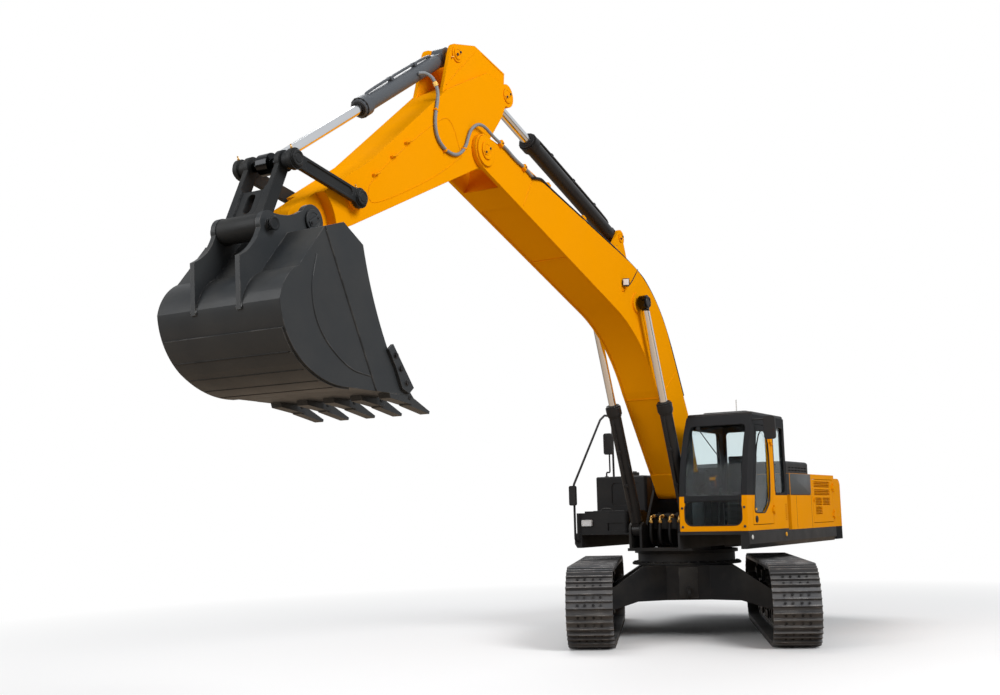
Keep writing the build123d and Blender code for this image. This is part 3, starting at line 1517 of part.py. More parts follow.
with BuildPart() as bucket:
    with BuildSketch(bucket_side):
        add(bucket_outline())
    extrude(amount=bucket_width / 2 - side_bar, both=True)
    with BuildSketch(bucket_side):
        add(bucket_outline(bucket_plate))
        with BuildLine():
            Polyline((mouth_low[0] - 200, bucket_floor + lip_thick), (mouth_low[0] + 150, bucket_floor + lip_thick),
                     (40, shell_front[1] - 100), shell_front, (shell_front[0] - 30, 0), (-500, 0), close=True)
        make_face()
    extrude(amount=bucket_width / 2 - side_bar - bucket_plate, both=True, mode=Mode.SUBTRACT)
    with BuildSketch(bucket_side):
        add(wear_outline())
    extrude(amount=bucket_width / 2 - side_bar - bucket_plate, both=True)
    for turn in (-1, 1):
        with BuildSketch(shifted(bucket_side, turn * (bucket_width / 2 - side_bar / 2))):
            add(bucket_outline())
            with BuildLine():
                Polyline((319, -165), (-367, bucket_floor), (1500, bucket_floor - 500), (1500, 300), close=True)
            make_face(mode=Mode.SUBTRACT)
        extrude(amount=side_bar / 2, both=True)
        with BuildSketch(shifted(bucket_side, turn * (ear_inside + ear_plate / 2))):
            add(ear_outline())
        extrude(amount=ear_plate / 2, both=True)
        with BuildSketch(shifted(bucket_side, turn * (ear_inside + ear_plate))):
            with Locations((link_x, link_z)):
                Circle(pin_collar)
        extrude(amount=ear_plate)
    with BuildSketch(bucket_side):
        Circle(arm_pin_radius)
    extrude(amount=ear_inside + ear_plate + 20, both=True)
    with BuildSketch(bucket_side):
        with Locations((link_x, link_z)):
            Circle(link_pin)
    extrude(amount=ear_inside + ear_plate + 20, both=True)
finish(bucket.part, "bucket")

# Teeth: an adapter welded over the lip and a point on each
with BuildPart() as bucket_teeth:
    for y in row(tooth_count, tooth_span):
        with BuildSketch(shifted(bucket_side, y)):
            with BuildLine():
                Polyline((lip_front + 260, bucket_floor + lip_thick + 26), (lip_front - 60, bucket_floor + 44),
                         (lip_front - 130, bucket_floor - 20), (lip_front - 100, bucket_floor - 78),
                         (lip_front + 220, bucket_floor - 40), close=True)
            make_face()
        extrude(amount=adapter_half, both=True)
        with BuildSketch(shifted(bucket_side, y)):
            with BuildLine():
                Polyline((lip_front - 20, bucket_floor + 36), (tooth_reach, tooth_drop + 12),
                         (tooth_reach + 8, tooth_drop - 12), (lip_front - 60, bucket_floor - 84), close=True)
            make_face()
        extrude(amount=tooth_half, both=True)
    with BuildSketch(bucket_side):
        add(bucket_outline())
    extrude(amount=bucket_width, both=True, mode=Mode.SUBTRACT)
finish(bucket_teeth.part, "bucket_teeth")

with BuildPart() as side_cutters:
    for turn in (-1, 1):
        with BuildSketch(shifted(bucket_side, turn * (bucket_width + cutter_plate) / 2)):
            with BuildLine():
                Polyline((-567, -1057), (-871, -1421), (-800, -1478), (-700, -1440), (-600, -1250), (-500, -1110),
                         close=True)
            make_face()
        extrude(amount=cutter_plate / 2, both=True)
finish(side_cutters.part, "side_cutters")

# Boom pipes and lamp
pipe_radius = 22.0
pipe_y = 200.0
clamp_height = 60.0
crown_slope = math.atan2(boom_brow[1] - boom_crown[1], boom_brow[0] - boom_crown[0])


def over_boom(along, above):
    """Point of the pipe line on the boom's upper left edge."""
    x, z = place(boom_side, along, above)
    return x, pipe_y, z


with BuildPart() as boom_pipes:
    tube([over_boom(900, 960), over_boom(1850, 1462), over_boom(2450, 1590), over_boom(3000, 1566),
          over_boom(5900, 561)], pipe_radius, 250)
    for share in (0.1, 0.4, 0.7):
        along = boom_crown[0] + share * (boom_brow[0] - boom_crown[0])
        above = boom_crown[1] + share * (boom_brow[1] - boom_crown[1])
        with BuildSketch(shifted(boom_side, pipe_y)):
            with Locations((along - math.sin(crown_slope) * (clamp_height - boom_lip) / 2,
                            above + math.cos(crown_slope) * (clamp_height - boom_lip) / 2)):
                Rectangle(70, clamp_height + boom_lip, rotation=math.degrees(crown_slope))
        extrude(amount=35, both=True)
finish(boom_pipes.part, "boom_pipes")

lamp_x, lamp_z = place(boom_side, 3260, 1040)
with BuildPart() as boom_lamp:
    with Locations((lamp_x, boom_width / 2 + 45, lamp_z)):
        Box(90, 90, 110)
finish(boom_lamp.part, "boom_lamp")
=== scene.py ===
"""Looks of the crawler excavator: paint, worn steel, glass, seat and fittings on its frame."""
import logging
import math
from dataclasses import dataclass, field
from enum import Enum
from typing import Optional, Sequence, Union

import bmesh
import bpy
from mathutils import Matrix, Vector


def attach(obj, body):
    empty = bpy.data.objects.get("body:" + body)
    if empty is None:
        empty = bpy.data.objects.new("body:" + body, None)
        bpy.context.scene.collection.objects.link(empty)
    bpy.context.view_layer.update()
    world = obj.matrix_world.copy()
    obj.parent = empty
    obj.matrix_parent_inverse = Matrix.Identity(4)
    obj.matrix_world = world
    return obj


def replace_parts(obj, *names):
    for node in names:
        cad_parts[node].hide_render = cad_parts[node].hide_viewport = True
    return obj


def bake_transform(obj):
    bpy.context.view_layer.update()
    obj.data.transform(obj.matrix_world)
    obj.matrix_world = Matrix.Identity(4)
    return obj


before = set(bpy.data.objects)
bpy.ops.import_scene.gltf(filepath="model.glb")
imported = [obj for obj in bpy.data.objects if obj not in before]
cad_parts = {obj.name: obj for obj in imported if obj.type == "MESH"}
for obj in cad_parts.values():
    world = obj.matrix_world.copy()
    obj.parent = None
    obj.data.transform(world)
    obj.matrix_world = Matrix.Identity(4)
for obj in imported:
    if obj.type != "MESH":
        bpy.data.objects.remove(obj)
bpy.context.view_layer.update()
LOG = logging.getLogger("excavator")
Colour = tuple[float, float, float]
Point = tuple[float, float, float]
Spot = tuple[float, float]
Socket = bpy.types.NodeSocket
Value = Union[float, Socket]
Tint = Union[tuple[float, float, float, float], Socket]

# Numbers shared by all finishes and pieces, in metres where they are lengths
BEVEL_SAMPLES = 4
WORN_EDGE = 0.012
UPRIGHT_DUST = 0.25
BLOTCH_VALUE = 0.82
BUMP_DEPTH = 0.01
DUST_ROUGHNESS = 0.35
COAT_ROUGHNESS = 0.12
ROUGHNESS_BAND = (-0.05, 0.07)
SHARP_ANGLE = math.radians(34)
KEEPER_TURN = math.radians(35)
NODE_COLUMN, NODE_ROW, NODES_IN_ROW = 200, 220, 12
WHITE = (1, 1, 1, 1)
SIDES = (-1, 1)


class Slot(Enum):
    """Kinds of surface that the small pieces are made of."""

    YELLOW_PAINT = "yellow_paint"
    BLACK_PAINT = "black_paint"
    GREY_PAINT = "grey_paint"
    GRAPHITE_PAINT = "graphite_paint"
    CAST = "cast"
    STEEL = "steel"
    CHROME = "chrome"
    PLASTIC = "plastic"
    LENS = "lens"
    FABRIC = "fabric"


# Shader tools


class Nodes:
    """Short way to place and join nodes in one tree."""

    def __init__(self, tree: bpy.types.NodeTree) -> None:
        """Keep the tree to build in."""
        self.tree = tree
        self.count = 0

    def add(self, kind: str, inputs: Optional[dict] = None, **settings: object) -> bpy.types.Node:
        """Place a node and set its sockets.

        Args:
            kind: node type name.
            inputs: socket name or index to a value or another node's output.
            settings: properties of the node itself.

        Returns:
            The new node.
        """
        node = self.tree.nodes.new(kind)
        row, column = divmod(self.count, NODES_IN_ROW)
        node.location = (NODE_COLUMN * column, -NODE_ROW * row)
        self.count += 1
        for name, value in settings.items():
            setattr(node, name, value)
        for name, value in (inputs or {}).items():
            socket = node.inputs[name]
            if isinstance(value, Socket):
                self.tree.links.new(value, socket)
            else:
                socket.default_value = value
        return node

    def math(self, operation: str, first: Value, second: Value = 0.0, third: Value = 0.0,
             clamp: bool = False) -> Socket:
        """Result of one Math node, kept between 0 and 1 if clamped."""
        node = self.add("ShaderNodeMath", {0: first, 1: second, 2: third}, operation=operation,
                        use_clamp=clamp)
        return node.outputs[0]

    def mix(self, factor: Value, first: Tint, second: Tint) -> Socket:
        """Colour between the first, at factor 0, and the second, at factor 1."""
        node = self.add("ShaderNodeMix", {0: factor, 6: first, 7: second}, data_type="RGBA")
        return node.outputs[2]

    def ramp(self, value: Value, low: float, high: float, low_out: float = 0.0,
             high_out: float = 1.0) -> Socket:
        """Straight ramp from low_out at the low limit to high_out at the high one, clamped."""
        node = self.add("ShaderNodeMapRange", {0: value, 1: low, 2: high, 3: low_out, 4: high_out})
        return node.outputs[0]

    def noise(self, scale: Value, detail: float) -> Socket:
        """Noise in object coordinates, finer with a larger scale."""
        place = self.add("ShaderNodeTexCoord").outputs["Object"]
        return self.add("ShaderNodeTexNoise",
                        {"Vector": place, "Scale": scale, "Detail": detail}).outputs[0]

    def show(self, shader: bpy.types.Node, kind: str = "ShaderNodeOutputMaterial") -> None:
        """Join a shader to the tree's output."""
        self.tree.links.new(shader.outputs[0], self.add(kind).inputs["Surface"])


def blank(owner: Union[bpy.types.Material, bpy.types.World]) -> Nodes:
    """Empty the node tree of a material or a world.

    Args:
        owner: what the tree belongs to.

    Returns:
        The helper on that tree.
    """
    owner.use_nodes = True
    owner.node_tree.nodes.clear()
    return Nodes(owner.node_tree)


def new_group(
    name: str, inputs: Sequence[tuple[str, str, object]], outputs: Sequence[tuple[str, str]],
) -> tuple[bpy.types.NodeTree, Nodes, bpy.types.Node, bpy.types.Node]:
    """Make an empty shader group with its sockets.

    Args:
        name: group name.
        inputs: socket name, socket type and default of each input.
        outputs: socket name and socket type of each output.

    Returns:
        The group, a Nodes helper, its input node and its output node.
    """
    group = bpy.data.node_groups.new(name, "ShaderNodeTree")
    for label, kind, value in inputs:
        socket = group.interface.new_socket(name=label, in_out="INPUT", socket_type=kind)
        socket.default_value = value
    for label, kind in outputs:
        group.interface.new_socket(name=label, in_out="OUTPUT", socket_type=kind)
    nodes = Nodes(group)
    return group, nodes, nodes.add("NodeGroupInput"), nodes.add("NodeGroupOutput")


def weathering_group() -> bpy.types.NodeTree:
    """Colour of a worn, dusty surface: worn edges, faint blotches and dust on top faces.

    Returns:
        The shader group.
    """
    colour, number = "NodeSocketColor", "NodeSocketFloat"
    group, n, given, out = new_group(
        "weathering",
        [("Paint", colour, (0.5, 0.5, 0.5, 1)), ("Bare", colour, (0.1, 0.1, 0.1, 1)),
         ("Dust", colour, (0.3, 0.26, 0.2, 1)), ("Wear", number, 0.3), ("Dusting", number, 0.2),
         ("Blotch", number, 0.1)],
        [("Colour", colour), ("Dusty", number)],
    )
    round_edge = n.add("ShaderNodeBevel", {"Radius": WORN_EDGE}, samples=BEVEL_SAMPLES)
    face = n.add("ShaderNodeNewGeometry")
    along = n.add("ShaderNodeVectorMath", {0: round_edge.outputs[0], 1: face.outputs["Normal"]},
                  operation="DOT_PRODUCT")
    edge = n.ramp(along.outputs["Value"], low=0.995, high=0.86)
    patchy = n.ramp(n.noise(scale=7.0, detail=5.0), low=0.47, high=0.62)
    worn = n.math("MULTIPLY", n.math("MULTIPLY", edge, patchy), given.outputs["Wear"], clamp=True)
    upward = n.add("ShaderNodeSeparateXYZ", {0: face.outputs["Normal"]})
    top = n.ramp(upward.outputs["Z"], low=0.1, high=0.9)
    lying = n.math("MULTIPLY_ADD", top, 1.0 - UPRIGHT_DUST, UPRIGHT_DUST)
    drifts = n.ramp(n.noise(scale=2.3, detail=6.0), low=0.35, high=0.7)
    dusty = n.math("MULTIPLY", n.math("MULTIPLY", drifts, lying), given.outputs["Dusting"],
                   clamp=True)
    spread = n.ramp(n.noise(scale=0.9, detail=4.0), low=0.3, high=0.7)
    deeper = n.add("ShaderNodeHueSaturation",
                   {"Value": BLOTCH_VALUE, "Color": given.outputs["Paint"]})
    blotched = n.mix(n.math("MULTIPLY", spread, given.outputs["Blotch"]), given.outputs["Paint"],
                     deeper.outputs[0])
    chipped = n.mix(worn, blotched, given.outputs["Bare"])
    n.tree.links.new(n.mix(dusty, chipped, given.outputs["Dust"]), out.inputs["Colour"])
    n.tree.links.new(dusty, out.inputs["Dusty"])
    return group


def relief_group() -> bpy.types.NodeTree:
    """Height of a fine skin: orange peel of paint, grain of a casting or of moulded plastic.

    Returns:
        The shader group.
    """
    number = "NodeSocketFloat"
    group, n, given, out = new_group(
        "skin_relief",
        [("Fine", number, 160.0), ("Coarse", number, 14.0), ("Share", number, 0.5)],
        [("Height", number)],
    )
    fine = n.noise(scale=given.outputs["Fine"], detail=2.0)
    coarse = n.noise(scale=given.outputs["Coarse"], detail=3.0)
    height = n.add("ShaderNodeMix", {0: given.outputs["Share"], 2: fine, 3: coarse})
    n.tree.links.new(height.outputs[0], out.inputs["Height"])
    return group


WEATHERING = weathering_group()
RELIEF = relief_group()


@dataclass(frozen=True)
class Zone:
    """Box in the machine's frame that takes a second colour."""

    low: Point
    high: Point


@dataclass(frozen=True)
class Finish:
    """One finish: colour, gloss, wear, dust and relief of a rigid surface."""

    name: str
    colour: Colour
    bare: Colour = (0.12, 0.11, 0.1)
    dust: Colour = (0.32, 0.28, 0.22)
    second: Optional[Colour] = None
    zones: tuple[Zone, ...] = ()
    roughness: float = 0.4
    metallic: float = 0.0
    coat: float = 0.0
    specular: float = 0.16
    wear: float = 0.25
    dusting: float = 0.15
    blotch: float = 0.15
    fine: float = 160.0
    coarse: float = 14.0
    share: float = 0.5
    bump: float = 0.05
    rounding: float = 0.006

    def colour_socket(self, n: Nodes) -> Tint:
        """Base colour, with the second colour inside the zones.

        Args:
            n: helper on the material's tree.

        Returns:
            A colour or a socket.
        """
        first = (*self.colour, 1.0)
        if self.second is None:
            return first
        place = n.add("ShaderNodeTexCoord")
        parts = n.add("ShaderNodeSeparateXYZ", {0: place.outputs["Object"]})
        inside = None
        for zone in self.zones:
            mask = None
            for index, axis in enumerate("XYZ"):
                above = n.math("GREATER_THAN", parts.outputs[axis], zone.low[index])
                below = n.math("LESS_THAN", parts.outputs[axis], zone.high[index])
                both = n.math("MULTIPLY", above, below)
                mask = both if mask is None else n.math("MULTIPLY", mask, both)
            inside = mask if inside is None else n.math("MAXIMUM", inside, mask)
        return n.mix(inside, first, (*self.second, 1.0))

    def make(self) -> bpy.types.Material:
        """Build the material.

        Returns:
            The finished material.
        """
        material = bpy.data.materials.new(self.name)
        n = blank(material)
        skin = n.add("ShaderNodeGroup", {
            "Paint": self.colour_socket(n), "Bare": (*self.bare, 1), "Dust": (*self.dust, 1),
            "Wear": self.wear, "Dusting": self.dusting, "Blotch": self.blotch,
        }, node_tree=WEATHERING)
        relief = n.add("ShaderNodeGroup", {
            "Fine": self.fine, "Coarse": self.coarse, "Share": self.share,
        }, node_tree=RELIEF)
        rounded = n.add("ShaderNodeBevel", {"Radius": self.rounding}, samples=BEVEL_SAMPLES)
        bump = n.add("ShaderNodeBump", {
            "Strength": self.bump, "Distance": BUMP_DEPTH, "Height": relief.outputs["Height"],
            "Normal": rounded.outputs[0],
        })
        uneven = n.ramp(n.noise(scale=3.1, detail=4.0), low=0.3, high=0.7,
                        low_out=self.roughness + ROUGHNESS_BAND[0],
                        high_out=self.roughness + ROUGHNESS_BAND[1])
        dull = n.math("MULTIPLY", skin.outputs["Dusty"], DUST_ROUGHNESS)
        n.show(n.add("ShaderNodeBsdfPrincipled", {
            "Base Color": skin.outputs["Colour"],
            "Roughness": n.math("ADD", uneven, dull, clamp=True), "Metallic": self.metallic,
            "Specular IOR Level": self.specular, "Coat Weight": self.coat,
            "Coat Roughness": COAT_ROUGHNESS, "Normal": bump.outputs[0],
        }))
        return material


@dataclass(frozen=True)
class Glazing:
    """Tinted window glass with a faint film of dust."""

    name: str = "window_glass"
    tint: Colour = (0.80, 0.87, 0.88)
    refraction: float = 1.15

    def make(self) -> bpy.types.Material:
        """Build the glass.

        Returns:
            The finished material.
        """
        material = bpy.data.materials.new(self.name)
        n = blank(material)
        film = n.ramp(n.noise(scale=1.7, detail=5.0), low=0.45, high=0.8, low_out=0.02,
                      high_out=0.09)
        n.show(n.add("ShaderNodeBsdfPrincipled", {
            "Base Color": (*self.tint, 1), "Roughness": film, "Metallic": 0.0,
            "Transmission Weight": 1.0, "IOR": self.refraction,
        }))
        return material


def grey(level: float) -> Colour:
    """Neutral colour of a level."""
    return (level, level, level)


YELLOW: Colour = (0.875, 0.335, 0.001)
BLACK: Colour = (0.012, 0.0125, 0.014)
DECK: Colour = (0.015, 0.016, 0.018)
CAB_DARK = (
    Zone((-1.0, 0.0, 1.935), (0.275, 3.0, 4.0)), Zone((-1.0, 0.0, 2.83), (3.0, 3.0, 4.0)),
    Zone((0.275, 0.0, 1.935), (3.0, 1.40, 4.0)), Zone((0.47, 0.0, 1.935), (3.0, 3.0, 4.0)),
    Zone((1.2, 0.6, 1.85), (3.0, 1.407, 1.95)), Zone((-0.195, 0.575, 1.4), (1.42, 1.432, 4.0)),
)
COUNTERWEIGHT_DARK = (Zone((-6.0, -3.0, 0.0), (0.0, 3.0, 1.45)),)
# Place of each rod's painted eye, x and z, and half its size
ROD_EYES = {"lift": (2.014, 4.529), "crowd": (5.226, 6.491), "curl": (8.976, 4.801)}
EYE_HALF = 0.115

FINISHES: tuple[Finish, ...] = (
    Finish("boom_yellow", YELLOW, roughness=0.45, specular=0.0, wear=0.12, dusting=0.02,
           blotch=0.12, bump=0.03, rounding=0.008),
    Finish("body_yellow", YELLOW, roughness=0.45, specular=0.012, wear=0.08, dusting=0.015,
           blotch=0.08, bump=0.02),
    Finish("cab_yellow", YELLOW, second=(0.026, 0.028, 0.031), zones=CAB_DARK, roughness=0.42,
           specular=0.012, wear=0.06, dusting=0.015, bump=0.02, rounding=0.014),
    Finish("counterweight_yellow", YELLOW, second=DECK, zones=COUNTERWEIGHT_DARK, roughness=0.48,
           specular=0.012, wear=0.15, dusting=0.03, bump=0.12, coarse=6.0, rounding=0.02),
    Finish("chassis_black", BLACK, bare=(0.09, 0.085, 0.08), roughness=0.48, wear=0.5,
           dusting=0.25, bump=0.08),
    Finish("deck_black", DECK, bare=grey(0.07), roughness=0.42, coat=0.06, wear=0.3,
           dusting=0.12),
    Finish("cylinder_black", (0.017, 0.017, 0.018), bare=grey(0.08), roughness=0.36, coat=0.08,
           wear=0.2, dusting=0.08, bump=0.04),
    Finish("cylinder_grey", (0.085, 0.095, 0.108), bare=grey(0.2), roughness=0.36, coat=0.08,
           wear=0.2, dusting=0.06, bump=0.04),
    Finish("bucket_graphite", (0.029, 0.033, 0.037), bare=(0.17, 0.165, 0.16), roughness=0.42,
           coat=0.1, wear=0.6, dusting=0.12, blotch=0.5, bump=0.06),
    Finish("link_casting", (0.014, 0.016, 0.018), bare=grey(0.12), roughness=0.45, wear=0.35,
           dusting=0.1, bump=0.2, fine=60.0, rounding=0.014),
    Finish("shoe_steel", (0.1, 0.102, 0.107), bare=(0.4, 0.39, 0.38), dust=(0.27, 0.25, 0.23),
           roughness=0.46, metallic=0.55, wear=0.9, dusting=0.55, blotch=0.5, bump=0.14,
           fine=90.0),
    Finish("roller_casting", (0.03, 0.03, 0.031), bare=grey(0.2), roughness=0.5, wear=0.6,
           dusting=0.35, bump=0.15, fine=70.0),
    *(Finish(f"{name}_rod", (0.92, 0.93, 0.94), bare=grey(0.6), second=(0.03, 0.031, 0.033),
             zones=(Zone((x - EYE_HALF, -1.0, z - EYE_HALF), (x + EYE_HALF, 1.0, z + EYE_HALF)),),
             roughness=0.13, metallic=1.0, wear=0.0, dusting=0.04, bump=0.0, rounding=0.003)
      for name, (x, z) in ROD_EYES.items()),
    Finish("bright_steel", (0.56, 0.55, 0.52), bare=grey(0.4), roughness=0.28, metallic=1.0,
           wear=0.1, dusting=0.1, bump=0.02),
    Finish("brass", (0.72, 0.43, 0.12), bare=(0.5, 0.3, 0.1), roughness=0.3, metallic=1.0,
           wear=0.1, dusting=0.05, bump=0.02, rounding=0.002),
    Finish("bolt_dark", (0.03, 0.03, 0.032), bare=grey(0.18), roughness=0.4, metallic=0.6,
           wear=0.4, dusting=0.1, bump=0.03, rounding=0.002),
    Finish("moulded_plastic", (0.023, 0.024, 0.026), bare=grey(0.05), roughness=0.5, wear=0.1,
           dusting=0.1, bump=0.22, fine=220.0, coarse=80.0),
    Finish("hose_rubber", (0.017, 0.017, 0.018), bare=grey(0.04), roughness=0.55, wear=0.0,
           dusting=0.08, bump=0.25, fine=260.0, coarse=120.0, rounding=0.002),
    Finish("hose_grey", (0.24, 0.26, 0.28), bare=grey(0.3), roughness=0.42, wear=0.0,
           dusting=0.05, bump=0.3, fine=260.0, coarse=120.0, rounding=0.002),
    Finish("engine_casting", (0.13, 0.135, 0.14), bare=grey(0.2), roughness=0.5, metallic=0.5,
           wear=0.2, dusting=0.2, bump=0.25, fine=80.0),
    Finish("lamp_lens", (0.78, 0.8, 0.82), bare=grey(0.7), roughness=0.12, wear=0.0,
           dusting=0.03, bump=0.12, fine=40.0, coarse=20.0, rounding=0.004),
    Finish("seat_cloth", (0.03, 0.031, 0.036), bare=grey(0.05), roughness=0.9, wear=0.0,
           dusting=0.06, bump=0.5, fine=420.0, coarse=300.0),
    Finish("reflector_white", (0.75, 0.76, 0.74), bare=grey(0.6), roughness=0.2, wear=0.0,
           dusting=0.04, bump=0.1, fine=300.0),
    Finish("reflector_amber", (0.9, 0.42, 0.01), bare=(0.6, 0.3, 0.1), roughness=0.2, wear=0.0,
           dusting=0.02, bump=0.1, fine=300.0),
    Finish("mirror_silver", (0.86, 0.87, 0.88), bare=grey(0.8), roughness=0.04, metallic=1.0,
           wear=0.0, dusting=0.03, bump=0.0),
    Finish("panel_graphite", (0.075, 0.082, 0.086), bare=grey(0.1), coat=0.06, wear=0.1,
           dusting=0.05, bump=0.04),
)


class Palette:
    """All materials of the machine, made once."""

    def __init__(self) -> None:
        """Make every finish and the glass."""
        self.by_name = {finish.name: finish.make() for finish in (*FINISHES, Glazing())}

    def __getitem__(self, name: str) -> bpy.types.Material:
        """Material by its finish's name."""
        return self.by_name[name]


@dataclass
class NodeDress:
    """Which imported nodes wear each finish."""

    finishes: dict[str, str] = field(default_factory=lambda: {
        "boom_yellow": "boom arm",
        "body_yellow": "radiator_door pump_door housing",
        "cab_yellow": "cab_frame cab_door",
        "counterweight_yellow": "counterweight lifting_eyes",
        "chassis_black": "carbody tow_eyes track_frame_left track_frame_right main_frame exhaust",
        "deck_black": "engine_hood side_frame_left side_frame_right fuel_tank tool_box "
                      "tool_box_lid handrails cab_floor cab_roof",
        "cylinder_black": "boom_barrels arm_barrel",
        "cylinder_grey": "bucket_barrel",
        "hose_rubber": "boom_pipes",
        "moulded_plastic": "air_intake mirrors controls",
        "bucket_graphite": "bucket side_cutters bucket_teeth",
        "link_casting": "rocker_links bucket_link",
        "engine_casting": "engine_block",
        "shoe_steel": "track_left track_right",
        "roller_casting": "slew_ring running_gear_left running_gear_right",
        "lift_rod": "boom_rods",
        "crowd_rod": "arm_rod",
        "curl_rod": "bucket_rod",
        "window_glass": "cab_glass cab_door_glass",
        "seat_cloth": "seat",
        "lamp_lens": "lamps boom_lamp",
    })

    def dress(self, palette: Palette) -> None:
        """Put the finishes on the nodes.

        Args:
            palette: all materials.
        """
        worn = {node: finish for finish, nodes in self.finishes.items() for node in nodes.split()}
        for name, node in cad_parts.items():
            node.data.materials.clear()
            node.data.materials.append(palette[worn[name]])
            LOG.info("node %s wears %s", name, worn[name])


# Frames of the working equipment


@dataclass(frozen=True)
class Side:
    """Upright plane through the machine's middle, its own X turned up by an angle in degrees."""

    x: float
    z: float
    angle: float

    def at(self, along: float, above: float, y: float = 0.0) -> Vector:
        """Point of the plane, moved y to the left.

        Args:
            along: distance along the plane's own X.
            above: distance across it, upwards.
            y: distance to the machine's left.

        Returns:
            The point in the machine's frame.
        """
        turn = math.radians(self.angle)
        return Vector((
            self.x + along * math.cos(turn) - above * math.sin(turn), y,
            self.z + along * math.sin(turn) + above * math.cos(turn),
        ))

    def line(self, spots: Sequence[Spot], y: float) -> list[Vector]:
        """Points at places along and above, all moved y to the left."""
        return [self.at(along, above, y) for along, above in spots]

    def ring(self, centre: Spot, radius: float, y: float, steps: int) -> list[Vector]:
        """Closed circle of points about a place, moved y to the left."""
        angles = [2 * math.pi * step / steps for step in range(steps + 1)]
        return self.line([(centre[0] + radius * math.cos(a), centre[1] + radius * math.sin(a))
                          for a in angles], y)

    def basis(self) -> Matrix:
        """Turn from the plane's own axes (along, left, above) to the machine's frame."""
        return Matrix.Rotation(-math.radians(self.angle), 3, "Y")

    def carried(self, along: float, angle: float) -> "Side":
        """Plane of the next piece, turned by an angle on a pin at a place along this one."""
        pin = self.at(along, 0.0)
        return Side(pin.x, pin.z, angle)

    def towards(self, base: Spot, other: "Side", eye: Spot) -> "Side":
        """Plane of a cylinder from its base on this plane to its eye on another.

        Args:
            base: base pin, along and above on this plane.
            other: plane that carries the rod's eye.
            eye: eye, along and above on that plane.

        Returns:
            The cylinder's plane.
        """
        start = self.at(*base)
        run = other.at(*eye) - start
        return Side(start.x, start.z, math.degrees(math.atan2(run.z, run.x)))


# Pins, along and above on the plane of the piece that carries them
ARM_PIN: Spot = (6.646, 0.0)
BUCKET_PIN: Spot = (3.193, 0.0)
LIFT_BASE: Spot = (0.800, 1.495)
LIFT_EYE: Spot = (2.814, 1.073)
CROWD_BASE: Spot = (3.377, 1.787)
CROWD_EYE: Spot = (-0.888, 0.480)
CURL_BASE: Spot = (-0.052, 1.068)
CURL_EYE: Spot = (3.224, 0.553)
ROCKER_PIN: Spot = (2.485, 0.036)

GROUND = Side(0.0, 0.0, 0.0)
BOOM = Side(0.214, 2.115, 32.42)
ARM = BOOM.carried(ARM_PIN[0], -25.28)
BUCKET = ARM.carried(BUCKET_PIN[0], 0.0)
LIFT = GROUND.towards(LIFT_BASE, BOOM, LIFT_EYE)
CROWD = BOOM.towards(CROWD_BASE, ARM, CROWD_EYE)
CURL = ARM.towards(CURL_BASE, ARM, CURL_EYE)
LEFT = Vector((0.0, 1.0, 0.0))
UP = Vector((0.0, 0.0, 1.0))
FORE = Vector((1.0, 0.0, 0.0))


# Mesh tools


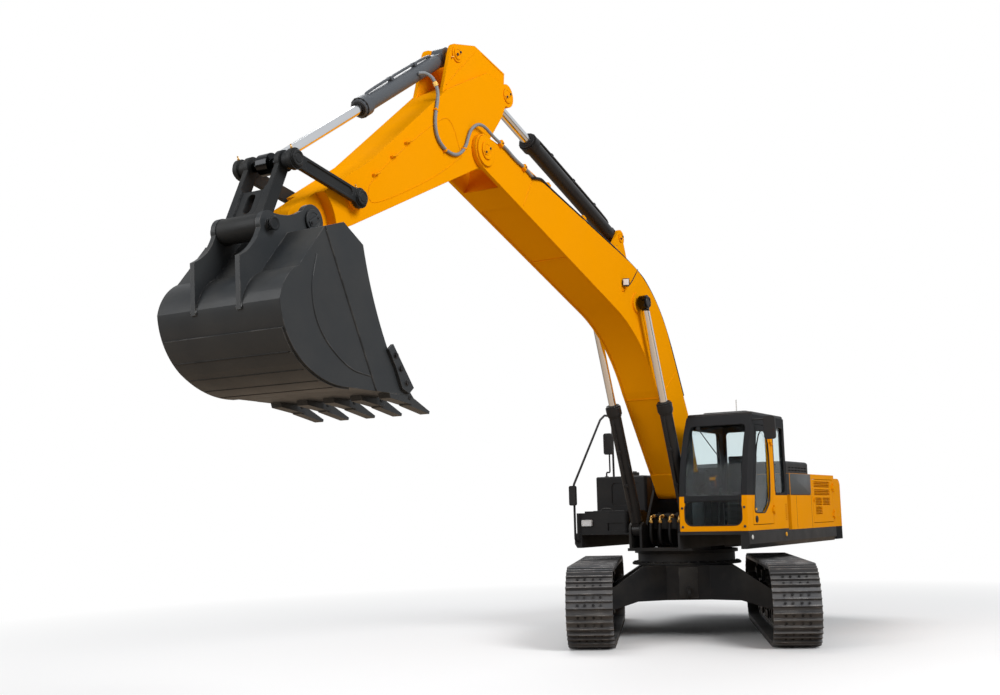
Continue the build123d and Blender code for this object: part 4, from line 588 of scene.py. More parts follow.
class Shape:
    """One piece under construction: a mesh in metres, in the machine's frame."""

    def __init__(self, name: str, palette: Palette, finish: str) -> None:
        """Start an empty piece.

        Args:
            name: name of the piece.
            palette: all materials.
            finish: finish that the piece wears.
        """
        self.name = name
        self.palette = palette
        self.finish = finish
        self.mesh = bmesh.new()

    def skin(self, rings: Sequence[Sequence[Vector]]) -> None:
        """Join rings of equal count with faces and close both ends.

        Args:
            rings: points of each ring in turn.
        """
        rows = [[self.mesh.verts.new(point) for point in ring] for ring in rings]
        count = len(rows[0])
        for first, second in zip(rows, rows[1:]):
            for index in range(count):
                after = (index + 1) % count
                self.mesh.faces.new((first[index], first[after], second[after], second[index]))
        self.mesh.faces.new(list(reversed(rows[0])))
        self.mesh.faces.new(rows[-1])

    def lathe(self, centre: Vector, axis: Vector, profile: Sequence[Spot], sides: int = 40) -> None:
        """Turned form about an axis.

        Args:
            centre: point on the axis that heights start from.
            axis: direction of the axis.
            profile: radius and height of each ring in turn.
            sides: points round each ring.
        """
        turn = axis.normalized().to_track_quat("Z", "Y").to_matrix()
        rings = []
        for radius, height in profile:
            rings.append([
                centre + turn @ Vector((radius * math.cos(a), radius * math.sin(a), height))
                for a in (2 * math.pi * index / sides for index in range(sides))
            ])
        self.skin(rings)

    def cap(self, centre: Vector, axis: Vector, radius: float, height: float,
            recess: float = 0.0) -> None:
        """Round cover with a rolled edge and, if asked, a sunk middle.

        Args:
            centre: middle of its seat.
            axis: direction it faces.
            radius: outer radius.
            height: how far it stands out.
            recess: depth of the sunk middle.
        """
        edge = min(0.25 * height, 0.1 * radius)
        profile = [(radius, 0.0), (radius, height - edge), (radius - edge, height)]
        if recess:
            profile += [(0.72 * radius, height), (0.68 * radius, height - recess),
                        (0.2 * radius, height - recess)]
        else:
            profile += [(0.3 * radius, height)]
        self.lathe(centre, axis, profile)

    def nut(self, seat: Vector, axis: Vector, neck: float, outer: float, heights: Point) -> None:
        """Hexagon coupling: its neck's and its own radius, and the heights of its three rings."""
        low, high, top = heights
        self.lathe(seat, axis, [(neck, 0.0), (outer, low), (outer, high), (neck, top)], 6)

    def nipple(self, seat: Vector, facing: Vector) -> None:
        """Grease nipple on its seat, turned from one piece."""
        self.lathe(seat, facing, [(0.011, 0.0), (0.011, 0.012), (0.007, 0.014), (0.005, 0.022),
                                  (0.008, 0.026), (0.008, 0.032), (0.003, 0.036)], 14)

    def block(self, centre: Vector, size: Point, turn: Optional[Matrix] = None,
              edge: float = 0.005) -> None:
        """Block with rounded edges.

        Args:
            centre: middle of the block.
            size: its three sides.
            turn: turn from its own axes, none for upright.
            edge: radius of its edges.
        """
        basis = (turn or Matrix.Identity(3)).to_4x4()
        place = Matrix.Translation(centre) @ basis @ Matrix.Diagonal((*size, 1.0))
        made = bmesh.ops.create_cube(self.mesh, size=1.0, matrix=place)
        edges = {line for corner in made["verts"] for line in corner.link_edges}
        bmesh.ops.bevel(self.mesh, geom=list(edges), offset=edge, segments=3, profile=0.5,
                        affect="EDGES")

    def plate(self, outline: Sequence[Vector], thick: Vector, edge: float) -> None:
        """Flat plate with eased edges.

        Args:
            outline: corners of its seat face in turn.
            thick: from the seat face to the outer face.
            edge: width of the eased edge.
        """
        face = self.mesh.faces.new([self.mesh.verts.new(point) for point in outline])
        grown = bmesh.ops.extrude_face_region(self.mesh, geom=[face])
        tops = [item for item in grown["geom"] if isinstance(item, bmesh.types.BMVert)]
        bmesh.ops.translate(self.mesh, vec=thick, verts=tops)
        edges = {line for corner in tops for line in corner.link_edges}
        bmesh.ops.bevel(self.mesh, geom=list(edges), offset=edge, segments=2, profile=0.5,
                        affect="EDGES")

    def tube(self, points: Sequence[Sequence[float]], radius: float, sides: int = 14,
             rounds: int = 3) -> None:
        """Round bar along a line whose corners are cut round.

        Args:
            points: corners of the line.
            radius: radius of the bar.
            sides: points round the bar.
            rounds: times that the corners are cut.
        """
        line = [Vector(point) for point in points]
        for _ in range(rounds):
            cut = [line[0]]
            for first, second in zip(line, line[1:]):
                cut += [first.lerp(second, 0.25), first.lerp(second, 0.75)]
            line = cut + [line[-1]]
        rings = []
        normal = (line[1] - line[0]).orthogonal().normalized()
        for index, point in enumerate(line):
            after, before = line[min(index + 1, len(line) - 1)], line[max(index - 1, 0)]
            ahead = (after - before).normalized()
            normal = (normal - normal.dot(ahead) * ahead).normalized()
            other = ahead.cross(normal)
            rings.append([
                point + radius * (math.cos(a) * normal + math.sin(a) * other)
                for a in (2 * math.pi * step / sides for step in range(sides))
            ])
        self.skin(rings)

    def bead(self, points: Sequence[Vector], radius: float = 0.006) -> None:
        """Weld bead along a line, half sunk in what it lies on."""
        self.tube(points, radius, sides=8, rounds=1)

    def handle(self, foot: Vector, rise: Vector, run: Vector, radius: float) -> None:
        """Bent bar that rises from its foot, runs along and goes down again."""
        self.tube([foot, foot + rise, foot + rise + run, foot + run], radius, 10, 2)

    def ride(self, body: str) -> bpy.types.Object:
        """Finish the piece and hang it on a body.

        Args:
            body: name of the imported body.

        Returns:
            The finished object.
        """
        piece = self.make()
        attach(piece, body)
        LOG.info("piece %s on %s: %d faces", self.name, body, len(piece.data.polygons))
        return piece

    def bend(self, first: str, second: str, start: Vector, end: Vector) -> None:
        """Finish the piece where it lies, fixed in the machine's frame, and log the two bodies that
        a joint joins.

        Args:
            first: body on the near side of the joint, only named in the log.
            second: body on the far side of the joint, only named in the log.
            start: not used.
            end: not used.
        """
        piece = self.make()
        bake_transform(piece)
        LOG.info("piece %s between %s and %s: %d faces", self.name, first, second,
                 len(piece.data.polygons))

    def make(self) -> bpy.types.Object:
        """Turn the mesh under construction into an object with its finish.

        Returns:
            The object, linked to the scene.
        """
        bmesh.ops.recalc_face_normals(self.mesh, faces=self.mesh.faces[:])
        data = bpy.data.meshes.new(self.name)
        self.mesh.to_mesh(data)
        self.mesh.free()
        data.polygons.foreach_set("use_smooth", [True] * len(data.polygons))
        data.set_sharp_from_angle(angle=SHARP_ANGLE)
        data.materials.append(self.palette[self.finish])
        piece = bpy.data.objects.new(self.name, data)
        bpy.context.collection.objects.link(piece)
        return piece


class Fasteners:
    """Hexagon heads on washers, put on chosen spots by Geometry Nodes, one mesh for each body."""

    finish = "bolt_dark"

    def __init__(self, palette: Palette) -> None:
        """Start with no spots.

        Args:
            palette: all materials.
        """
        self.palette = palette
        self.spots: dict[str, list[tuple[Vector, Vector, float]]] = {}
        self.tree = self.make_tree()

    def add(self, body: str, spot: Vector, facing: Vector, radius: float) -> None:
        """Ask for one head on a body, at a spot, facing a way."""
        self.spots.setdefault(body, []).append((spot.copy(), facing.normalized(), radius))

    def circle(self, body: str, centre: Vector, facing: Vector, ring: float, count: int,
               radius: float) -> None:
        """Ask for a bolt circle.

        Args:
            body: body that it rides on.
            centre: middle of the circle.
            facing: direction the heads face.
            ring: radius of the circle.
            count: number of heads.
            radius: radius of each head.
        """
        turn = facing.normalized().to_track_quat("Z", "Y").to_matrix()
        for index in range(count):
            angle = 2 * math.pi * (index + 0.5) / count
            spot = Vector((ring * math.cos(angle), ring * math.sin(angle), 0))
            self.add(body, centre + turn @ spot, facing, radius)

    @staticmethod
    def make_tree() -> bpy.types.NodeTree:
        """Build the node tree that puts a head on every point.

        Returns:
            The Geometry Nodes tree.
        """
        tree = bpy.data.node_groups.new("fasteners", "GeometryNodeTree")
        new_socket, geometry = tree.interface.new_socket, "NodeSocketGeometry"
        new_socket(name="Geometry", in_out="INPUT", socket_type=geometry)
        sizes = (("Head Height", 0.75), ("Washer Radius", 1.4), ("Washer Height", 0.18))
        for name, value in sizes:
            socket = new_socket(name=name, in_out="INPUT", socket_type="NodeSocketFloat")
            socket.default_value = value
        new_socket(name="Finish", in_out="INPUT", socket_type="NodeSocketMaterial")
        new_socket(name="Geometry", in_out="OUTPUT", socket_type=geometry)
        n = Nodes(tree)
        given = n.add("NodeGroupInput")
        out = n.add("NodeGroupOutput")
        tall = given.outputs["Head Height"]
        head = n.add("GeometryNodeMeshCylinder", {"Vertices": 6, "Radius": 1.0, "Depth": tall})
        lift = n.add("ShaderNodeCombineXYZ", {"Z": n.math("MULTIPLY", tall, 0.6)})
        raised = n.add("GeometryNodeTransform", {"Geometry": head.outputs["Mesh"],
                                                 "Translation": lift.outputs[0]})
        washer = n.add("GeometryNodeMeshCylinder", {
            "Vertices": 18, "Radius": given.outputs["Washer Radius"],
            "Depth": given.outputs["Washer Height"],
        })
        both = n.add("GeometryNodeJoinGeometry", {0: raised.outputs[0]})
        tree.links.new(washer.outputs["Mesh"], both.inputs[0])
        named = "GeometryNodeInputNamedAttribute"
        facing = n.add(named, {"Name": "facing"}, data_type="FLOAT_VECTOR")
        size = n.add(named, {"Name": "size"}, data_type="FLOAT")
        turn = n.add("FunctionNodeAlignRotationToVector",
                     {"Vector": facing.outputs["Attribute"]}, axis="Z")
        placed = n.add("GeometryNodeInstanceOnPoints", {
            "Points": given.outputs["Geometry"], "Instance": both.outputs[0],
            "Rotation": turn.outputs[0], "Scale": size.outputs["Attribute"],
        })
        solid = n.add("GeometryNodeRealizeInstances", {0: placed.outputs[0]})
        worn = n.add("GeometryNodeSetMaterial", {"Geometry": solid.outputs[0],
                                                 "Material": given.outputs["Finish"]})
        tree.links.new(worn.outputs[0], out.inputs["Geometry"])
        return tree

    def build(self) -> None:
        """Make one plain mesh of heads for each body."""
        sockets = {item.name: item.identifier for item in self.tree.interface.items_tree
                   if item.in_out == "INPUT"}
        for body, spots in self.spots.items():
            name = f"fasteners_{body}_{self.finish}"
            points = bpy.data.meshes.new(name + "_spots")
            points.from_pydata([spot for spot, _, _ in spots], [], [])
            facing = points.attributes.new("facing", "FLOAT_VECTOR", "POINT")
            facing.data.foreach_set("vector", [value for _, way, _ in spots for value in way])
            size = points.attributes.new("size", "FLOAT", "POINT")
            size.data.foreach_set("value", [radius for _, _, radius in spots])
            holder = bpy.data.objects.new(name, points)
            bpy.context.collection.objects.link(holder)
            modifier = holder.modifiers.new("fasteners", "NODES")
            modifier.node_group = self.tree
            modifier[sockets["Finish"]] = self.palette[self.finish]
            graph = bpy.context.evaluated_depsgraph_get()
            plain = bpy.data.meshes.new_from_object(holder.evaluated_get(graph))
            holder.modifiers.remove(modifier)
            holder.data = plain
            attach(holder, body)
            LOG.info("%d fasteners on %s", len(spots), body)


# Sub-assemblies


@dataclass
class Assembly:
    """Fittings of one part of the machine, with what their pieces are made with."""

    palette: Palette
    fasteners: Fasteners

    def shape(self, name: str, finish: str) -> Shape:
        """Start a piece that wears a finish."""
        return Shape(name, self.palette, finish)

    def retainer(self, body: str, name: str, centre: Vector, side: int, radius: float,
                 finish: str) -> None:
        """Pin cover with a flat keeper plate and two bolts.

        Args:
            body: body that it rides on.
            name: name of the piece.
            centre: middle of its seat on the outer face.
            side: 1 for the machine's left, -1 for its right.
            radius: radius of the cover.
            finish: finish of the cover.
        """
        facing = side * LEFT
        cover = self.shape(name, finish)
        cover.cap(centre, facing, radius, 0.014, 0.004)
        turn = Matrix.Rotation(KEEPER_TURN, 3, "Y")
        cover.block(centre + 0.018 * facing, (1.5 * radius, 0.012, 0.5 * radius), turn, 0.004)
        cover.ride(body)
        for along in (-0.52, 0.52):
            spot = centre + 0.024 * facing + turn @ Vector((along * radius, 0, 0))
            self.fasteners.add(body, spot, facing, 0.011)


@dataclass
class Undercarriage(Assembly):
    """Tracks and chassis: shoe bolts, chain links and pins, covers, guards and slew ring."""

    body: str = "undercarriage"
    turn: float = 23.6
    gauge: float = 2.59
    pitch: float = 0.216
    shoes: int = 48
    wheelbase: float = 3.92
    shoe_face: float = 0.085
    shoe_bolts_along: tuple[float, ...] = (-0.052, 0.052)
    shoe_bolts_across: tuple[float, ...] = (-0.148, -0.055, 0.055, 0.148)
    rail_out: float = 0.125
    ground_to_axle: float = 0.5253
    roller_height: float = 0.2603
    roller_span: float = 2.76
    roller_face: float = 0.165
    rollers: int = 8
    drive_face: float = 0.24
    guards: tuple[float, ...] = (-0.9, 0.0, 0.9)
    guard_middle: Spot = (0.178, 0.255)
    cover_middle: Spot = (0.1, 0.535)
    cover_face: float = 0.17
    cover_bolts: Spot = (0.2, 0.055)
    ring_sides: int = 72

    def basis(self) -> Matrix:
        """Turn from the tracks' own axes to the machine's frame."""
        return Matrix.Rotation(math.radians(self.turn), 3, "Z")

    def local(self, x: float, y: float, z: float) -> Vector:
        """Point x along the tracks, y to their left and z above the ground."""
        return self.basis() @ Vector((x, y, z))

    def link(self, shoe: float) -> tuple[float, float, float]:
        """Middle and heading of one chain link on the loop.

        Args:
            shoe: number of the shoe, a half step for a pin.

        Returns:
            Place along, height and heading.
        """
        radius = (self.shoes * self.pitch - 2 * self.wheelbase) / (2 * math.pi)
        run = ((shoe + 0.5) * self.pitch) % (self.shoes * self.pitch)
        half, arc = self.wheelbase / 2, math.pi * radius
        if run < self.wheelbase:
            return -half + run, self.ground_to_axle - radius, 0.0
        run -= self.wheelbase
        if run < arc:
            a = run / radius
            return half + radius * math.sin(a), self.ground_to_axle - radius * math.cos(a), a
        run -= arc
        if run < self.wheelbase:
            return half - run, self.ground_to_axle + radius, math.pi
        a = math.pi + (run - self.wheelbase) / radius
        return -half + radius * math.sin(a), self.ground_to_axle - radius * math.cos(a), a

    def build(self) -> None:
        """Dress both tracks and the chassis."""
        for side, y in (("left", self.gauge / 2), ("right", -self.gauge / 2)):
            self.chain(side, y)
            self.covers(side, y)
        ring = self.shape("slew_ring_seal", "hose_rubber")
        ring.lathe(Vector((0, 0, 1.148)), UP,
                   [(0.700, 0.0), (0.716, 0.004), (0.716, 0.018), (0.700, 0.022)], self.ring_sides)
        ring.ride(self.body)
        flange = self.shape("slew_ring_flange", "chassis_black")
        flange.lathe(Vector((0, 0, 0.991)), UP,
                     [(0.7, 0.0), (0.782, 0.0), (0.786, 0.004), (0.786, 0.026), (0.78, 0.032),
                      (0.712, 0.034), (0.7, 0.05)], self.ring_sides)
        flange.ride(self.body)
        self.fasteners.circle(self.body, Vector((0, 0, 1.024)), UP, 0.75, 36, 0.017)
        band = self.shape("carbody_band", "roller_casting")
        corners = ((-0.13, 0.545), (0.13, 0.545), (0.13, 0.965), (-0.13, 0.965))
        band.plate([self.local(0.8, y, z) for y, z in corners], self.local(0.004, 0, 0), 0.001)
        band.ride(self.body)

    def chain(self, side: str, y: float) -> None:
        """Bolts of the shoes, faces of the chain links and ends of their pins.

        Args:
            side: name of the side.
            y: middle of the track.
        """
        pins = self.shape(f"chain_pins_{side}", "bright_steel")
        plates = self.shape(f"chain_links_{side}", "roller_casting")
        for shoe in range(self.shoes):
            x, z, heading = self.link(shoe)
            way = Vector((math.cos(heading), 0, math.sin(heading)))
            out = Vector((math.sin(heading), 0, -math.cos(heading)))
            for along in self.shoe_bolts_along:
                for across in self.shoe_bolts_across:
                    spot = Vector((x, y + across, z)) + along * way + self.shoe_face * out
                    self.fasteners.add(self.body, self.local(*spot), self.local(*out), 0.0125)
            px, pz, _ = self.link(shoe - 0.5)
            turn = self.basis() @ Matrix.Rotation(-heading, 3, "Y")
            for across in SIDES:
                seat = self.local(px, y + across * self.rail_out, pz)
                pins.cap(seat, self.local(0, across, 0), 0.026, 0.012, 0.003)
                middle = self.local(x, y + across * (self.rail_out + 0.003), z)
                plates.block(middle, (0.6 * self.pitch, 0.012, 0.052), turn, 0.004)
        pins.ride(self.body)
        plates.ride(self.body)

    def covers(self, side: str, y: float) -> None:
        """Covers of rollers, idler, final drive and frame, and the track guards.

        Args:
            side: name of the side.
            y: middle of the track.
        """
        out = 1 if y > 0 else -1
        facing = self.local(0, out, 0)
        covers = self.shape(f"roller_covers_{side}", "chassis_black")
        for index in range(self.rollers):
            x = self.roller_span * (index / (self.rollers - 1) - 0.5)
            seat = self.local(x, y + out * self.roller_face, self.roller_height)
            covers.cap(seat, facing, 0.062, 0.022, 0.006)
            self.fasteners.circle(self.body, seat + 0.02 * facing, facing, 0.044, 4, 0.0075)
        hub = self.local(self.wheelbase / 2, y + out * self.roller_face, self.ground_to_axle)
        covers.cap(hub, facing, 0.085, 0.03, 0.008)
        self.fasteners.circle(self.body, hub + 0.028 * facing, facing, 0.062, 6, 0.009)
        drive = self.local(-self.wheelbase / 2, y + out * self.drive_face, self.ground_to_axle)
        covers.lathe(drive, facing, [(0.25, 0.0), (0.246, 0.02), (0.2, 0.032), (0.19, 0.05),
                                     (0.1, 0.06), (0.03, 0.06)])
        self.fasteners.circle(self.body, drive + 0.026 * facing, facing, 0.222, 16, 0.011)
        covers.ride(self.body)
        guard = self.shape(f"track_guards_{side}", "chassis_black")
        across, height = self.guard_middle
        for x in self.guards:
            for turn in SIDES:
                middle = self.local(x, y + turn * across, height)
                guard.block(middle, (0.34, 0.02, 0.11), self.basis(), 0.006)
        guard.ride(self.body)
        cover = self.shape(f"frame_cover_{side}", "chassis_black")
        x, z = self.cover_middle
        face = y + out * self.cover_face
        cover.block(self.local(x, face, z), (0.46, 0.012, 0.15), self.basis(), 0.005)
        cover.ride(self.body)
        dx, dz = self.cover_bolts
        for fore in SIDES:
            for up in SIDES:
                spot = self.local(x + fore * dx, face + out * 0.006, z + up * dz)
                self.fasteners.add(self.body, spot, facing, 0.009)


@dataclass
class BoomFittings(Assembly):
    """Boom: weld seams, pin covers, work lamp, second pipe with saddles and edge line."""

    half: float = 0.27
    inner: float = 0.24
    arm_pin_face: float = 0.297
    foot_pin_face: float = 0.337
    crowd_pin_face: float = 0.118
    lift_eye_face: float = 0.436
    pipe_y: float = 0.2
    pipe_step: float = 0.062
    pipe_route: tuple[Spot, ...] = ((0.9, 0.96), (1.85, 1.462), (2.45, 1.59), (3.0, 1.566),
                                    (5.9, 0.561))
    edge_route: tuple[Point, ...] = (
        (0.9, 0.944, 0.252), (1.85, 1.446, 0.252), (2.45, 1.574, 0.252), (3.0, 1.55, 0.252),
        (5.25, 0.768, 0.252), (5.45, 0.7, 0.262), (5.6, 0.632, 0.287), (5.7, 0.535, 0.29),
        (5.78, 0.488, 0.289),
    )
    coupling: Point = (5.72, 0.522, 0.29)
    crown: Spot = (3.3, 1.42)
    brow: Spot = (6.25, 0.398)
    saddle_rise: float = 0.03
    lamp: Spot = (3.26, 1.04)
    lamp_turn: float = 20.0

    def build(self) -> None:
        """Dress the boom and its pins."""
        self.seams()
        self.pipes()
        self.work_lamp()
        for side in SIDES:
            for body, name, pin, face, radius, finish in (
                ("boom", "arm_pin_cover", ARM_PIN, self.arm_pin_face, 0.1, "boom_yellow"),
                ("upper", "foot_pin_cover", (0, 0), self.foot_pin_face, 0.1, "chassis_black"),
                ("boom", "crowd_pin_cover", CROWD_BASE, self.crowd_pin_face, 0.062, "boom_yellow"),
            ):
                self.retainer(body, f"{name}_{side}", BOOM.at(*pin, side * face), side, radius,
                              finish)
            eye, facing = BOOM.at(*LIFT_EYE, side * self.lift_eye_face), side * LEFT
            cap = self.shape(f"lift_eye_cap_{side}", "cylinder_black")
            cap.cap(eye, facing, 0.078, 0.018, 0.005)
            cap.ride("boom_rods")
            self.fasteners.circle("boom_rods", eye + 0.016 * facing, facing, 0.064, 4, 0.009)

    def seams(self) -> None:
        """Weld seams across the plates and round the bosses."""
        weld = self.shape("boom_seams", "boom_yellow")
        for side in SIDES:
            y = side * self.half
            for ends in (((1.58, 0.41), (1.30, 1.07)), ((5.72, 0.07), (5.72, 0.55)),
                         ((0.52, 0.02), (0.36, 0.5))):
                weld.bead(BOOM.line(ends, y))
            for boss, radius in ((LIFT_EYE, 0.135), (ARM_PIN, 0.178)):
                weld.bead(BOOM.ring(boss, radius, y, 40), 0.008)
        for along, above in ((1.58, 0.392), (4.6, 0.288)):
            weld.bead([BOOM.at(along, above, -self.inner), BOOM.at(along, above, self.inner)])
        weld.ride("boom")

    def pipes(self) -> None:
        """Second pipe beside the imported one, the line on the left edge and saddles over both."""
        second = self.shape("boom_pipe_inner", "hose_rubber")
        second.tube(BOOM.line(self.pipe_route, self.pipe_y - self.pipe_step), 0.02)
        second.ride("boom")
        edge = self.shape("boom_edge_line", "hose_rubber")
        edge.tube([BOOM.at(*spot) for spot in self.edge_route], 0.016)
        coupling = BOOM.at(*self.coupling)
        edge.nut(coupling, BOOM.at(*self.edge_route[-1]) - coupling, 0.018, 0.025,
                 (0.004, 0.05, 0.054))
        edge.ride("boom")
        saddles = self.shape("pipe_saddles", "boom_yellow")
        run, fall = self.brow[0] - self.crown[0], self.brow[1] - self.crown[1]
        slope = math.atan2(fall, run)
        turn = BOOM.basis() @ Matrix.Rotation(-slope, 3, "Y")
        for share in (0.1, 0.4, 0.7):
            along = self.crown[0] + share * run - math.sin(slope) * self.saddle_rise
            above = self.crown[1] + share * fall + math.cos(slope) * self.saddle_rise
            middle = BOOM.at(along, above, self.pipe_y - self.pipe_step / 2)
            saddles.block(middle, (0.09, 0.19, 0.09), turn, 0.012)
            for dy in (-0.078, 0.078):
                spot = middle + dy * LEFT + turn @ Vector((0, 0, 0.046))
                self.fasteners.add("boom", spot, turn @ UP, 0.011)
        saddles.ride("boom")

    def work_lamp(self) -> None:
        """Lamp on its bracket at the boom's left side, with its wire."""
        place = BOOM.at(*self.lamp, self.half)
        turn = Matrix.Rotation(math.radians(self.lamp_turn), 3, "Z")
        middle = place + Vector((0.004, 0.05, 0.006))
        shell = self.shape("boom_lamp_shell", "moulded_plastic")
        shell.block(middle, (0.072, 0.086, 0.096), turn, 0.018)
        shell.block(middle + turn @ Vector((0.03, 0, 0)), (0.012, 0.089, 0.1), turn, 0.005)
        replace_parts(shell.ride("boom"), "boom_lamp")
        lens = self.shape("boom_lamp_lens", "lamp_lens")
        lens.block(middle + turn @ Vector((0.035, 0, 0)), (0.006, 0.072, 0.08), turn, 0.0025)
        lens.ride("boom")
        bracket = self.shape("boom_lamp_bracket", "boom_yellow")
        bend = ((0, -0.004, -0.085), (0, 0.045, -0.08), (0.002, 0.05, -0.045))
        bracket.tube([place + Vector(corner) for corner in bend], 0.012)
        bracket.block(place + Vector((0, 0.005, -0.085)), (0.07, 0.01, 0.05), None, 0.003)
        bracket.ride("boom")
        wire = self.shape("boom_lamp_wire", "hose_rubber")
        route = ((3.17, 1.05, 0.29), (3.08, 1.2, 0.276), (3.02, 1.42, 0.276), (2.98, 1.54, 0.262))
        wire.tube([middle + Vector((-0.03, 0, -0.02)), *(BOOM.at(*spot) for spot in route)],
                  0.006, 8)
        wire.ride("boom")


@dataclass
class ArmFittings(Assembly):
    """Arm: pin covers, clips, weld seams and the grey hose to the bucket's cylinder."""

    half: float = 0.22
    head: float = 0.19
    clips: tuple[Spot, ...] = ((2.027, 0.181), (1.657, 0.282), (1.357, 0.364))
    clip_half: float = 0.045
    stiffener: tuple[Spot, ...] = ((0.42, 0.03), (1.02, -0.07), (2.16, -0.095), (2.25, 0.0),
                                   (2.12, 0.16), (0.62, 0.5), (0.42, 0.42), (0.42, 0.03))
    curl_base_face: float = 0.2035
    hose_radius: float = 0.018
    hose_y: float = 0.289
    boom_clamp_y: float = 0.287
    boom_clamp_face: float = 0.312
    arm_clamp_y: float = 0.238
    hose_on_boom: tuple[Spot, ...] = ((5.75, 0.50), (5.912, 0.471), (6.145, 0.385), (6.36, 0.345),
                                      (6.585, 0.262), (6.69, 0.24))
    hose_on_arm: tuple[Point, ...] = (
        (-0.066, 0.27, 0.29), (0.018, 0.30, 0.27), (0.122, 0.275, 0.25), (0.21, 0.211, 0.242),
        (0.296, 0.129, 0.242), (0.41, 0.078, 0.242), (0.546, 0.066, 0.242), (0.67, 0.116, 0.242),
        (0.772, 0.205, 0.242), (0.824, 0.312, 0.242), (0.811, 0.418, 0.242), (0.758, 0.523, 0.242),
        (0.662, 0.632, 0.242), (0.589, 0.732, 0.24), (0.563, 0.82, 0.225), (0.545, 0.905, 0.19),
        (0.575, 0.962, 0.14), (0.64, 0.975, 0.1),
    )

    def build(self) -> None:
        """Dress the arm."""
        clips = self.shape("arm_clips", "boom_yellow")
        for along, above in self.clips:
            clips.handle(ARM.at(along - self.clip_half, above, self.half - 0.004), 0.044 * LEFT,
                         ARM.basis() @ (2 * self.clip_half * FORE), 0.009)
        clips.ride("arm")
        weld = self.shape("arm_seams", "boom_yellow")
        brass = self.shape("arm_nipples", "brass")
        for side in SIDES:
            face, cheek, facing = side * self.half, side * self.head, side * LEFT
            self.retainer("arm", f"crowd_eye_cover_{side}", ARM.at(*CROWD_EYE, face), side, 0.088,
                          "boom_yellow")
            self.retainer("arm", f"curl_base_cover_{side}",
                          ARM.at(*CURL_BASE, side * self.curl_base_face), side, 0.066,
                          "boom_yellow")
            weld.bead(ARM.line(((-0.437, 1.04), (0.311, 0.79)), cheek), 0.007)
            weld.bead(ARM.line(((-0.602, 1.0), (-0.97, 0.72)), cheek), 0.006)
            weld.tube(ARM.line(self.stiffener, face), 0.005, 8, 3)
            weld.bead(ARM.ring(ROCKER_PIN, 0.095, face, 32), 0.007)
            brass.nipple(ARM.at(0.068, 1.05, cheek), facing)
            brass.nipple(ARM.at(2.42, -0.06, face), facing)
        weld.ride("arm")
        brass.ride("arm")
        self.hose()

    def hose(self) -> None:
        """Grey hose that follows the boom before the arm's pin and the arm after it, clamped."""
        hose = self.shape("arm_hose", "hose_grey")
        route = BOOM.line(self.hose_on_boom, self.hose_y)
        route += [ARM.at(*spot) for spot in self.hose_on_arm]
        hose.tube(route, self.hose_radius, 14, 2)
        hose.bend("boom", "arm", ARM.at(-0.15, 0.2), ARM.at(0.2, 0.2))
        clamp = self.shape("hose_clamps_boom", "boom_yellow")
        for spot in ((5.95, 0.455), (6.46, 0.312)):
            clamp.block(BOOM.at(*spot, self.boom_clamp_y), (0.06, 0.05, 0.07), BOOM.basis(), 0.008)
            self.fasteners.add("boom", BOOM.at(*spot, self.boom_clamp_face), LEFT, 0.009)
        clamp.ride("boom")
        saddle = self.shape("hose_clamps_arm", "boom_yellow")
        for along, above, turn in ((0.36, 0.1, 65.0), (0.73, 0.158, 120.0), (0.715, 0.575, 35.0)):
            way = ARM.basis() @ Matrix.Rotation(math.radians(turn), 3, "Y")
            saddle.block(ARM.at(along, above, self.arm_clamp_y), (0.022, 0.05, 0.05), way, 0.006)
        saddle.ride("arm")
        collar = self.shape("hose_collars", "brass")
        seat = ARM.at(0.567, 0.80, 0.228)
        collar.nut(seat, ARM.at(0.556, 0.87, 0.205) - seat, 0.019, 0.026, (0.004, 0.05, 0.055))
        collar.ride("arm")


